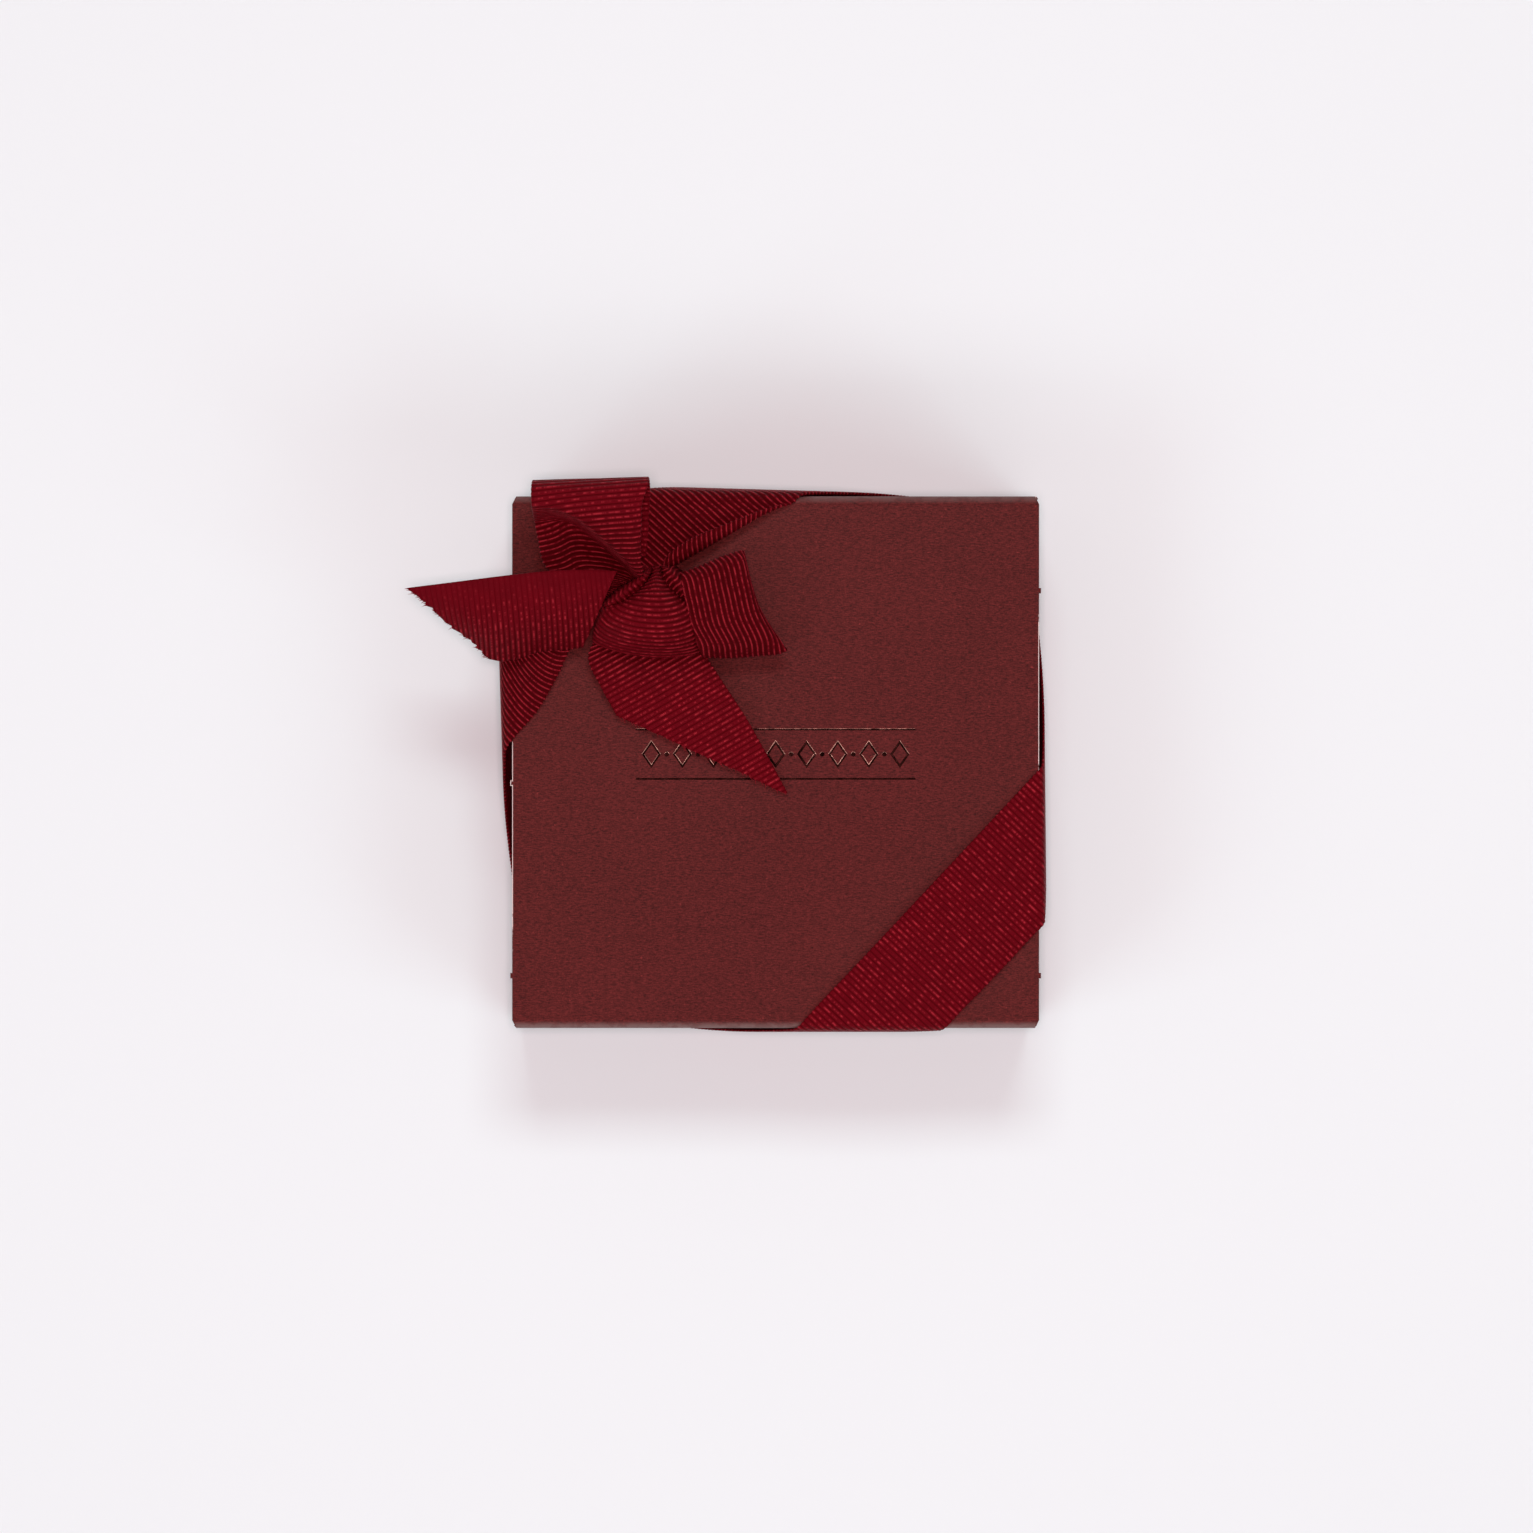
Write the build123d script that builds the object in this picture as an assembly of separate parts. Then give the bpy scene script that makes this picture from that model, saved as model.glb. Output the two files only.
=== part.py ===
"""Drawer box for nine chocolates, tied round its corners with a grosgrain ribbon and a bow.

Millimetres, +Z up. The origin lies on the table, under the middle of the sleeve.
+X is the way the tray slides out, and the bow lies on the lid's back left corner.
"""

from build123d import *
from dataclasses import dataclass
import math
import os

os.makedirs("parts", exist_ok=True)

# Sleeve: one board wrapped round the tray, open at both ends
sleeve_length = 98.0
sleeve_depth = 99.0
sleeve_height = 32.0
board = 0.5
fold_radius = 1.5
glue_flap = 14.0
glue_film = 0.1
seam_end_gap = 2.0
seam_glue_inset = 1.5

# Holding nicks that the cutting die leaves on the sleeve's raw edges
nick_pitch = 35.8
nick_width = 1.0
nick_reach = 0.35
nick_offset = -3.9
nick_count = 3

# Small trims where the folds meet the raw edges
trim_in = 0.75
trim_along = 1.5

# Stamped foil band on the lid
foil_film = 0.05
stamp_depth = 0.12
band_length = 52.0
band_offset = 1.5
rule_width = 0.35
rule_spread = 4.6
lozenge_count = 9
lozenge_height = 5.2
lozenge_width = 3.6
lozenge_stroke = 0.42
bead_diameter = 0.9

# Tray that slides in the sleeve
tray_end_recess = 0.5
tray_side_clearance = 0.3
tray_top_clearance = 0.3
tray_under_clearance = 0.2
tray_wall = 1.1
tray_floor = 0.5
tray_edge_radius = 1.0
tray_rim_radius = 0.45
seam_groove_width = 0.12
seam_groove_depth = 0.15

# Liner and crossed dividers in the tray
liner_thickness = 0.3
liner_clearance = 0.3
divider_board = 0.5
divider_height = 22.0
divider_clearance = 0.25
slot_clearance = 0.05
slot_overlap = 0.4
cells_along = 3
cells_deep = 3

# Ribbon
ribbon_width = 20.0
ribbon_thickness = 0.45
ribbon_gap = 0.1
splice_gap = 0.3

# How the ribbon turns over the edges: how far its middle stands off the sleeve, and its bend
side_standoff = 0.85
side_bend = 1.0
bow_side_standoff = 2.0
bow_side_bend = 2.0
back_standoff = 0.8
back_bend = 1.8
side_foot_standoff = 0.4
side_foot_bend = 0.6

# Where the ribbon's middle crosses the edges, as shares of the half length or half depth
right_top_share = -0.331
front_top_share = 0.39
left_top_share = 0.374
back_top_share = -0.21

# How far a leg of the ribbon drifts sideways on its way down, as shares of the sleeve's height
right_drift_share = 1.075
front_drift_share = -0.93
left_drift_share = -1.0
back_drift_share = 0.94

# Where the knot is, as shares of the half length and half depth
knot_x_share = -0.48
knot_y_share = 0.697

# Each row gives two selvedge points and a cup. A point is a place from the knot and a height over
# the lid, and every number is a share of the ribbon's width. The rows run away from the knot.
left_strand_shares = [
    ((-0.21, 0.12, 0.08), (-0.13, -0.16, 0.06), 0.02),
    ((-0.48, 0.11, 0.08), (-0.40, -0.40, 0.07), 0.05),
    ((-0.85, 0.08, 0.06), (-0.69, -0.67, 0.05), 0.06),
    ((-1.10, 0.00, 0.045), (-0.92, -1.05, 0.035), 0.04),
]
back_strand_shares = [
    ((0.20, 0.07, 0.07), (-0.05, 0.21, 0.08), 0.01),
    ((0.48, 0.23, 0.10), (-0.08, 0.38, 0.10), 0.03),
    ((0.84, 0.47, 0.09), (-0.08, 0.58, 0.10), 0.03),
]
upper_loop_shares = [
    ((-0.23, 0.17, 0.15), (-0.05, 0.21, 0.17), 0.0),
    ((-0.63, 0.20, 0.15), (-0.03, 0.35, 0.18), 0.0),
    ((-0.97, 0.43, 0.18), (0.01, 0.55, 0.22), 0.0),
    ((-1.07, 0.73, 0.27), (0.03, 0.75, 0.32), 0.0),
    ((-1.10, 0.90, 0.45), (0.02, 0.92, 0.50), 0.0),
    ((-1.09, 0.75, 0.62), (0.00, 0.77, 0.67), 0.03),
    ((-1.03, 0.45, 0.50), (-0.02, 0.53, 0.62), 0.0),
    ((-0.96, 0.17, 0.35), (-0.04, 0.33, 0.53), -0.08),
    ((-0.58, 0.11, 0.28), (-0.05, 0.22, 0.43), -0.05),
    ((-0.23, 0.14, 0.24), (-0.04, 0.19, 0.35), 0.0),
]
right_loop_shares = [
    ((0.35, 0.00, 0.13), (0.53, -0.70, 0.13), 0.0),
    ((0.56, 0.11, 0.10), (0.83, -0.72, 0.08), 0.0),
    ((0.77, 0.19, 0.09), (1.15, -0.71, 0.07), 0.0),
    ((0.86, 0.24, 0.21), (1.26, -0.69, 0.15), 0.0),
    ((0.77, 0.20, 0.33), (1.15, -0.70, 0.24), 0.03),
    ((0.56, 0.11, 0.36), (0.83, -0.73, 0.26), 0.05),
    ((0.35, 0.01, 0.35), (0.53, -0.72, 0.25), 0.06),
]
left_tail_shares = [
    ((-0.30, 0.05, 0.40), (-0.62, -0.65, 0.16), 0.05),
    ((-0.53, 0.06, 0.46), (-0.75, -0.67, 0.15), 0.10),
    ((-0.92, 0.05, 0.52), (-1.00, -0.69, 0.15), 0.13),
    ((-1.38, 0.00, 0.51), (-1.24, -0.76, 0.17), 0.14),
    ((-1.85, -0.06, 0.45), (-1.35, -0.78, 0.18), 0.11),
    ((-2.25, -0.11, 0.35), (-1.46, -0.79, 0.18), 0.06),
]
right_tail_shares = [
    ((-0.20, -0.17, 0.10), (0.18, -0.15, 0.10), 0.0),
    ((-0.44, -0.50, 0.10), (0.38, -0.45, 0.09), 0.0),
    ((-0.58, -0.74, 0.07), (0.52, -0.75, 0.08), 0.02),
    ((-0.45, -1.01, 0.05), (0.69, -1.00, 0.05), 0.03),
    ((-0.34, -1.21, 0.035), (0.91, -1.34, 0.04), 0.02),
    ((-0.30, -1.29, 0.025), (1.29, -2.03, 0.022), 0.0),
]

# Sections of the knot from back to front: place, left side, right side, underside and top
knot_shares = [
    (0.12, -0.12, 0.13, 0.14, 0.33),
    (0.04, -0.16, 0.18, 0.12, 0.41),
    (-0.10, -0.26, 0.26, 0.125, 0.45),
    (-0.25, -0.41, 0.38, 0.13, 0.45),
    (-0.42, -0.49, 0.44, 0.13, 0.43),
    (-0.60, -0.54, 0.47, 0.13, 0.35),
    (-0.72, -0.54, 0.47, 0.16, 0.26),
]
knot_round_share = 0.62
knot_sides = 16

# Steps that the curved pieces are cut into
row_steps = 4
longest_step_share = 0.45
flat_steps = 1
cupped_steps = 4
bend_steps = 5

# Places that follow from the sizes
half_length = sleeve_length / 2
half_depth = sleeve_depth / 2
sleeve_bottom = ribbon_thickness + ribbon_gap
lid_top = sleeve_bottom + sleeve_height
seat = sleeve_bottom + board + glue_film + board
cut_overrun = 2 * board
ribbon_top_middle = lid_top + ribbon_gap + ribbon_thickness / 2
ribbon_foot_middle = ribbon_thickness / 2
snug_standoff = ribbon_gap + ribbon_thickness / 2
snug_bend = fold_radius + snug_standoff
knot = Vector(knot_x_share * half_length, knot_y_share * half_depth, lid_top)


def save(node, shape):
    """Write one node to its own STEP file."""
    export_step(shape, f"parts/{node}.step")


def group(solids):
    """Hold several separate solids as one shape."""
    return Compound(children=list(solids))


# Sleeve
def wrap_line(inset, bottom_end):
    """A line round the wrapped board, moved inwards by inset, from the free end to the flap's end."""
    flap_level = sleeve_bottom + board + glue_film + inset
    corners = [
        (bottom_end, sleeve_bottom + inset),
        (inset - half_depth, sleeve_bottom + inset),
        (inset - half_depth, lid_top - inset),
        (half_depth - inset, lid_top - inset),
        (half_depth - inset, flap_level),
        (half_depth - glue_flap, flap_level),
    ]
    return FilletPolyline(*corners, radius=fold_radius - inset), corners


def sleeve_wrap():
    """The board's section, wrapped once round with its glue flap inside, drawn along the box."""
    free_end = half_depth - seam_end_gap
    outside, outer_corners = wrap_line(0, free_end)
    inside, inner_corners = wrap_line(board, free_end)
    ends = [
        Line(outer_corners[0], inner_corners[0]),
        Line(outer_corners[-1], inner_corners[-1]),
    ]
    section = make_face([outside.edges(), inside.edges(), *ends])
    return extrude(Plane.YZ * section, amount=half_length, both=True)


def nick_places():
    """Where the nicks are along the lid's raw edges."""
    middle = (nick_count - 1) / 2
    return [nick_offset + (place - middle) * nick_pitch for place in range(nick_count)]


def nicks():
    """Small tabs on both raw edges of the lid, but none where the ribbon presses on that edge."""
    reach = (right_side.extent + nick_width) / 2
    for y in nick_places():
        for side in (-1, 1):
            pressed = side > 0 and abs(y - right_side.top) < reach
            if not pressed:
                x = side * (half_length + nick_reach / 2)
                yield Pos(x, y, lid_top - board / 2) * Box(nick_reach, nick_width, board)


def corner_trims():
    """Wedges that take the lid's four corners off where the folds meet the raw edges."""
    for side_x in (-1, 1):
        for side_y in (-1, 1):
            wedge = Polyline(
                (side_x * half_length, side_y * (half_depth - trim_along)),
                (side_x * (half_length + trim_in), side_y * (half_depth - trim_along)),
                (side_x * (half_length + trim_in), side_y * (half_depth + cut_overrun)),
                (side_x * (half_length - trim_in), side_y * (half_depth + cut_overrun)),
                (side_x * (half_length - trim_in), side_y * half_depth),
                close=True,
            )
            height = trim_along + cut_overrun
            yield Pos(0, 0, lid_top - trim_along) * extrude(make_face(wedge), amount=height)


def lozenge(width, height):
    """A diamond standing on its point."""
    return make_face(
        Polyline((0, height / 2), (width / 2, 0), (0, -height / 2), (-width / 2, 0), close=True)
    )


def foil_shapes():
    """A band of open lozenges and beads between two rules, as flat faces."""
    pitch = band_length / lozenge_count
    first = -(lozenge_count - 1) / 2 * pitch
    stretch = lozenge_height / lozenge_width
    inner_width = lozenge_width - 2 * lozenge_stroke * math.hypot(1, stretch) / stretch
    ring = lozenge(lozenge_width, lozenge_height) - lozenge(inner_width, inner_width * stretch)
    shapes = [Pos(first + place * pitch, 0) * ring for place in range(lozenge_count)]
    for place in range(lozenge_count - 1):
        shapes.append(Pos(first + (place + 1 / 2) * pitch, 0) * Circle(bead_diameter / 2))
    for side in (-1, 1):
        shapes.append(Pos(0, side * rule_spread) * Rectangle(band_length, rule_width))
    return shapes


def stamped(depth, film):
    """The foil band as solids of one film, with their undersides a depth below the lid."""
    place = Pos(0, band_offset, lid_top - depth)
    return [place * extrude(shape, amount=film) for shape in foil_shapes()]


def make_sleeve():
    body = sleeve_wrap()
    for trim in corner_trims():
        body -= trim
    for tab in nicks():
        body += tab
    return body - stamped(stamp_depth, stamp_depth + cut_overrun)


def make_seam_glue():
    """The film of glue that holds the flap to the bottom panel."""
    depth = glue_flap - seam_end_gap - seam_glue_inset
    y = half_depth - glue_flap + depth / 2
    length = sleeve_length - 2 * seam_glue_inset
    return Pos(0, y, sleeve_bottom + board + glue_film / 2) * Box(length, depth, glue_film)


# Tray
tray_length = sleeve_length - 2 * tray_end_recess
tray_depth = sleeve_depth - 2 * (board + tray_side_clearance)
tray_bottom = seat + tray_under_clearance
tray_top = lid_top - board - tray_top_clearance
tray_height = tray_top - tray_bottom
pocket_length = tray_length - 2 * tray_wall
pocket_depth = tray_depth - 2 * tray_wall
pocket_floor = tray_bottom + tray_floor


def seam_grooves():
    """The joints of the folded walls: a line down each end face and a mitre over each corner."""
    for side_x in (-1, 1):
        for side_y in (-1, 1):
            x = side_x * tray_length / 2
            y = side_y * (tray_depth / 2 - tray_wall)
            upright = Box(2 * seam_groove_depth, seam_groove_width, tray_height)
            yield Pos(x, y, tray_bottom + tray_height / 2 + tray_edge_radius) * upright
            corner_x = side_x * (tray_length - tray_wall) / 2
            corner_y = side_y * (tray_depth - tray_wall) / 2
            mitre = Box(2 * tray_wall, seam_groove_width, 2 * seam_groove_depth)
            turn = Rot(0, 0, side_x * side_y * 45)
            yield Pos(corner_x, corner_y, tray_top) * turn * mitre


def make_tray():
    """Double walls folded up from one board, with a rolled rim."""
    shell = Pos(0, 0, tray_bottom + tray_height / 2) * Box(tray_length, tray_depth, tray_height)
    low_edges = shell.faces().sort_by(Axis.Z)[0].edges()
    shell = fillet(low_edges, tray_edge_radius)
    pocket_height = tray_height - tray_floor
    pocket = Box(pocket_length, pocket_depth, pocket_height + cut_overrun)
    shell -= Pos(0, 0, pocket_floor + (pocket_height + cut_overrun) / 2) * pocket
    rim_edges = shell.faces().sort_by(Axis.Z)[-1].edges()
    shell = fillet(rim_edges, tray_rim_radius)
    for groove in seam_grooves():
        shell -= groove
    return shell


def make_liner():
    length = pocket_length - 2 * liner_clearance
    depth = pocket_depth - 2 * liner_clearance
    return Pos(0, 0, pocket_floor + liner_thickness / 2) * Box(length, depth, liner_thickness)


def divider_places(pocket, cells):
    """Where the dividers stand across a pocket, so that the cells come out alike."""
    cell = (pocket - (cells - 1) * divider_board) / cells
    first = -pocket / 2 + cell + divider_board / 2
    return [first + place * (cell + divider_board) for place in range(cells - 1)]


def divider(length, crossings, slots_from_top):
    """One strip along X, slotted half way through where the crossing strips pass."""
    base = pocket_floor + liner_thickness
    strip = Pos(0, 0, base + divider_height / 2) * Box(length, divider_board, divider_height)
    slot_width = divider_board + 2 * slot_clearance
    slot_height = divider_height / 2 + slot_overlap / 2
    level = base + divider_height - slot_height / 2 if slots_from_top else base + slot_height / 2
    for x in crossings:
        overrun = cut_overrun if slots_from_top else -cut_overrun
        slot = Box(slot_width, 2 * divider_board, slot_height + cut_overrun)
        strip -= Pos(x, 0, level + overrun / 2) * slot
    return strip


def make_dividers():
    """Long strips slotted from the top, crossed by strips slotted from below."""
    across_places = divider_places(pocket_length, cells_along)
    along_places = divider_places(pocket_depth, cells_deep)
    length = pocket_length - 2 * divider_clearance
    depth = pocket_depth - 2 * divider_clearance
    strips = {}
    for name, y in zip(("front_divider", "back_divider"), along_places):
        strips[name] = Pos(0, y, 0) * divider(length, across_places, True)
    for name, x in zip(("left_divider", "right_divider"), across_places):
        strips[name] = Pos(x, 0, 0) * Rot(0, 0, 90) * divider(depth, along_places, False)
    return strips


# Ribbon round the box
@dataclass
class Side:
    """One side of the sleeve, and how a leg of the ribbon turns over it and drifts down it."""

    out: Vector
    along: Vector
    reach: float
    first: int
    top: float
    drift_share: float
    standoff: float
    bend: float
    foot_standoff: float
    foot_bend: float

    @property
    def extent(self):
        """How much of the edge the slanting ribbon covers."""
        return ribbon_width * math.hypot(1, self.drift_share)

    def profile(self):
        """Offset, height and turn of the ribbon's middle, from the lid down to the underside."""
        for step in range(bend_steps + 1):
            turn = math.pi / 2 * (1 - step / bend_steps)
            offset = self.standoff - self.bend * (1 - math.cos(turn))
            yield offset, ribbon_top_middle - self.bend * (1 - math.sin(turn)), turn
        for step in range(bend_steps + 1):
            turn = -math.pi / 2 * step / bend_steps
            offset = self.foot_standoff - self.foot_bend * (1 - math.cos(turn))
            yield offset, ribbon_foot_middle + self.foot_bend * (1 + math.sin(turn)), turn

    def leg(self):
        """Rows of the leg from lid to underside: two selvedge points, a cup and the way out."""
        profile = list(self.profile())
        runs = [0]
        for before, after in zip(profile, profile[1:]):
            runs.append(runs[-1] + math.hypot(after[0] - before[0], after[1] - before[1]))
        rows = []
        for (offset, height, turn), run in zip(profile, runs):
            middle = self.top + self.drift_share * sleeve_height * run / runs[-1]
            place = self.out * (self.reach + offset) + Vector(0, 0, height)
            half = self.first * self.extent / 2
            selvedges = [place + self.along * (middle + half), place + self.along * (middle - half)]
            normal = self.out * math.cos(turn) + Vector(0, 0, math.sin(turn))
            rows.append((*selvedges, 0, normal))
        return rows


right_side = Side(
    out=Vector(1, 0, 0),
    along=Vector(0, 1, 0),
    reach=half_length,
    first=1,
    top=right_top_share * half_depth,
    drift_share=right_drift_share,
    standoff=side_standoff,
    bend=side_bend,
    foot_standoff=side_foot_standoff,
    foot_bend=side_foot_bend,
)
left_side = Side(
    out=Vector(-1, 0, 0),
    along=Vector(0, 1, 0),
    reach=half_length,
    first=1,
    top=left_top_share * half_depth,
    drift_share=left_drift_share,
    standoff=bow_side_standoff,
    bend=bow_side_bend,
    foot_standoff=side_foot_standoff,
    foot_bend=side_foot_bend,
)
front_side = Side(
    out=Vector(0, -1, 0),
    along=Vector(1, 0, 0),
    reach=half_depth,
    first=-1,
    top=front_top_share * half_length,
    drift_share=front_drift_share,
    standoff=snug_standoff,
    bend=snug_bend,
    foot_standoff=snug_standoff,
    foot_bend=snug_bend,
)
back_side = Side(
    out=Vector(0, 1, 0),
    along=Vector(1, 0, 0),
    reach=half_depth,
    first=1,
    top=back_top_share * half_length,
    drift_share=back_drift_share,
    standoff=back_standoff,
    bend=back_bend,
    foot_standoff=snug_standoff,
    foot_bend=snug_bend,
)


def under_box(own, other):
    """The flat stretch under the box, from a leg's foot half way to the other half's foot."""
    back = (own[0] + own[1] - other[0] - other[1]).normalized() * (splice_gap / 2)
    splice = [(mine + theirs) / 2 + back for mine, theirs in zip(own, other)]
    corners = [(point.X, point.Y) for point in (own[0], own[1], splice[1], splice[0])]
    return extrude(make_face(Polyline(*corners, close=True)), amount=ribbon_thickness)


def make_far_ribbon():
    """The half of the loop that lies over the lid's front right corner, splice to splice."""
    right_leg, front_leg = right_side.leg(), front_side.leg()
    back_foot, left_foot = back_side.leg()[-1], left_side.leg()[-1]
    over = woven([*reversed(right_leg), *front_leg], flat_steps)
    right_under = under_box(right_leg[-1][:2], back_foot[:2])
    return over + right_under + under_box(front_leg[-1][:2], left_foot[1::-1])


def make_strand(shares, side, other_foot):
    """A strand from the knot over the lid, down one side and on to its splice under the box."""
    leg = side.leg()
    free = [place_row(row) for row in shares] + [leg[0][:3]]
    over = woven([*with_normals(smooth(free))[:-1], *leg], cupped_steps)
    return over + under_box(leg[-1][:2], other_foot)


# Ribbon pieces given by rows
def place_row(shares):
    """Turn one row of shares into two points and a cup in real sizes."""
    first, second, cup_share = shares
    points = [knot + Vector(*share) * ribbon_width for share in (first, second)]
    return (*points, cup_share * ribbon_width)


def between(before, start, end, after, share):
    """A value on the smooth curve through start and end."""
    leave, arrive = (end - before) / 2, (after - start) / 2
    square, cube = share**2, share**3
    return (
        start * (2 * cube - 3 * square + 1)
        + leave * (cube - 2 * square + share)
        + end * (3 * square - 2 * cube)
        + arrive * (cube - square)
    )


def smooth(rows):
    """Rows on smooth curves through the given ones."""
    filled = []
    for place in range(len(rows) - 1):
        start, end = rows[place], rows[place + 1]
        before = rows[place - 1] if place > 0 else [2 * a - b for a, b in zip(start, end)]
        last = place + 2 == len(rows)
        after = [2 * b - a for a, b in zip(start, end)] if last else rows[place + 2]
        for step in range(row_steps):
            share = step / row_steps
            filled.append([between(*values, share) for values in zip(before, start, end, after)])
    return [*filled, list(rows[-1])]


def with_normals(rows):
    """Give each row the direction that its face looks in."""
    result = []
    for place, (first, second, cup) in enumerate(rows):
        ahead = rows[min(place + 1, len(rows) - 1)]
        behind = rows[max(place - 1, 0)]
        along = ahead[0] + ahead[1] - behind[0] - behind[1]
        result.append((first, second, cup, along.cross(second - first).normalized()))
    return result


def outline(row, steps):
    """The ribbon's section at one row: a thin closed line, cupped across its width."""
    first, second, cup, normal = row
    outward = normal.normalized()
    half = outward * (ribbon_thickness / 2)
    middle = []
    for step in range(steps + 1):
        share = step / steps
        middle.append(first + (second - first) * share + outward * (4 * share * (1 - share) * cup))
    upper = [point + half for point in middle]
    lower = [point - half for point in reversed(middle)]
    return Wire.make_polygon([*upper, *lower], close=True)


def closer(rows):
    """The same rows with others between them, so that no two are far apart for the ribbon's width."""
    filled = [rows[0]]
    for start, end in zip(rows, rows[1:]):
        gap = max((b - a).length for a, b in zip(start[:2], end[:2]))
        steps = math.ceil(gap / (ribbon_width * longest_step_share))
        for step in range(1, steps + 1):
            share = step / steps
            filled.append([a * (1 - share) + b * share for a, b in zip(start, end)])
    return filled


def woven(rows, steps):
    """A stretch of ribbon as one solid."""
    return Solid.make_loft([outline(row, steps) for row in closer(rows)], ruled=True)


def bow_piece(shares):
    """A loop or a tail from its table."""
    return woven(with_normals(smooth([place_row(row) for row in shares])), cupped_steps)


def make_knot():
    """The fan of ribbon that is pinched at the back and folds under at the front."""
    wires = []
    for y_share, left_share, right_share, low_share, top_share in knot_shares:
        width, height = right_share - left_share, top_share - low_share
        points = []
        for step in range(knot_sides):
            turn = 2 * math.pi * step / knot_sides
            across = math.copysign(abs(math.cos(turn)) ** knot_round_share, math.cos(turn))
            up = math.copysign(abs(math.sin(turn)) ** knot_round_share, math.sin(turn))
            x_share = (left_share + right_share + width * across) / 2
            z_share = (low_share + top_share + height * up) / 2
            points.append(knot + Vector(x_share, y_share, z_share) * ribbon_width)
        wires.append(Wire.make_polygon(points, close=True))
    return Solid.make_loft(wires, ruled=True)


# Write every piece
save("sleeve", make_sleeve())
save("seam_glue", make_seam_glue())
save("foil_band", group(stamped(stamp_depth, foil_film)))
save("tray", make_tray())
save("base_liner", make_liner())
for name, strip in make_dividers().items():
    save(name, strip)

save("far_ribbon", make_far_ribbon())
right_foot, front_foot = right_side.leg()[-1], front_side.leg()[-1]
save("left_strand", make_strand(left_strand_shares, left_side, front_foot[1::-1]))
save("back_strand", make_strand(back_strand_shares, back_side, right_foot[:2]))
save("bow_knot", make_knot())
for name, shares in {
    "upper_loop": upper_loop_shares,
    "right_loop": right_loop_shares,
    "left_tail": left_tail_shares,
    "right_tail": right_tail_shares,
}.items():
    save(name, bow_piece(shares))
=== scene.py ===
"""Looks for the drawer box of nine chocolates, with its grosgrain ribbon and bow.

Metres, +Z up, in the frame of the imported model. The camera looks straight down on the lid.
"""

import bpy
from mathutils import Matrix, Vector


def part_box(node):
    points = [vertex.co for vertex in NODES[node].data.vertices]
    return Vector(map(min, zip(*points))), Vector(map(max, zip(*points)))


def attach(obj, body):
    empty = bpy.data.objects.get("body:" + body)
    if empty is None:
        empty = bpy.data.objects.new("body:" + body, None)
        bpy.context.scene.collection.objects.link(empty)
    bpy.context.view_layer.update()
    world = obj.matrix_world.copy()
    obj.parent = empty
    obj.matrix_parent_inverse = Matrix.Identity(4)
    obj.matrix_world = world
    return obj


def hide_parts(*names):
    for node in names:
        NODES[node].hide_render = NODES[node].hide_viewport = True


bl_info = {
    "name": "Ribboned drawer box",
    "version": (1, 0, 0),
    "blender": (4, 5, 0),
    "location": "3D View > Sidebar > Drawer Box",
    "description": "Dresses the packed drawer box in board, foil and grosgrain ribbon",
    "category": "Object",
}

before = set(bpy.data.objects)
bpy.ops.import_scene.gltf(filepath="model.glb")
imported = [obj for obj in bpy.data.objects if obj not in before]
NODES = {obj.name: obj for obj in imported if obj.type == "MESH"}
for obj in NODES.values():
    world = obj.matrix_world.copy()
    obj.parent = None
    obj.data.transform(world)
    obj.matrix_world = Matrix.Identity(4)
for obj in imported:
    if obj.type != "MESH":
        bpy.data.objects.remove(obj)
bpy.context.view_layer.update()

import math

import bmesh
import bpy
import numpy as np
from bpy.props import FloatProperty, FloatVectorProperty, IntProperty, PointerProperty
from mathutils import Vector

MM = 0.001
BLACK = (0.0, 0.0, 0.0, 1.0)

# The sleeve's own sizes, as in the part's source
HALF_LENGTH = 0.049
HALF_DEPTH = 0.0495
SLEEVE_HEIGHT = 0.032
FOLD_RADIUS = 0.0015
LID_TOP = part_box("sleeve")[1].z
SLEEVE_MIDDLE = LID_TOP - SLEEVE_HEIGHT / 2
FLAT_END = HALF_DEPTH - FOLD_RADIUS

# Where the ribbon's middle runs over the lid and under the box, and the slit where its halves meet
RIBBON_GAP = 0.0001
RIBBON_FULL = 0.00045
FOOT_LEVEL = RIBBON_FULL / 2
TOP_LEVEL = LID_TOP + RIBBON_GAP + RIBBON_FULL / 2
SPLICE_GAP = 0.0003
KNOT = np.array((-0.48 * HALF_LENGTH, 0.697 * HALF_DEPTH, LID_TOP))

# How faces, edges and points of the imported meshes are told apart: distances in metres, the share
# of a normal that points one way, and angles between two faces
SAME_POINT = 1e-6
SAME_LEVEL = 1e-5
ENDS = 1e-4
ENDS_AND_NICKS = 1e-3
FLAT_WALL = 0.99
RAW_EDGE_ANGLE = 1.2
CREASE_ANGLE = math.radians(32)


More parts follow.
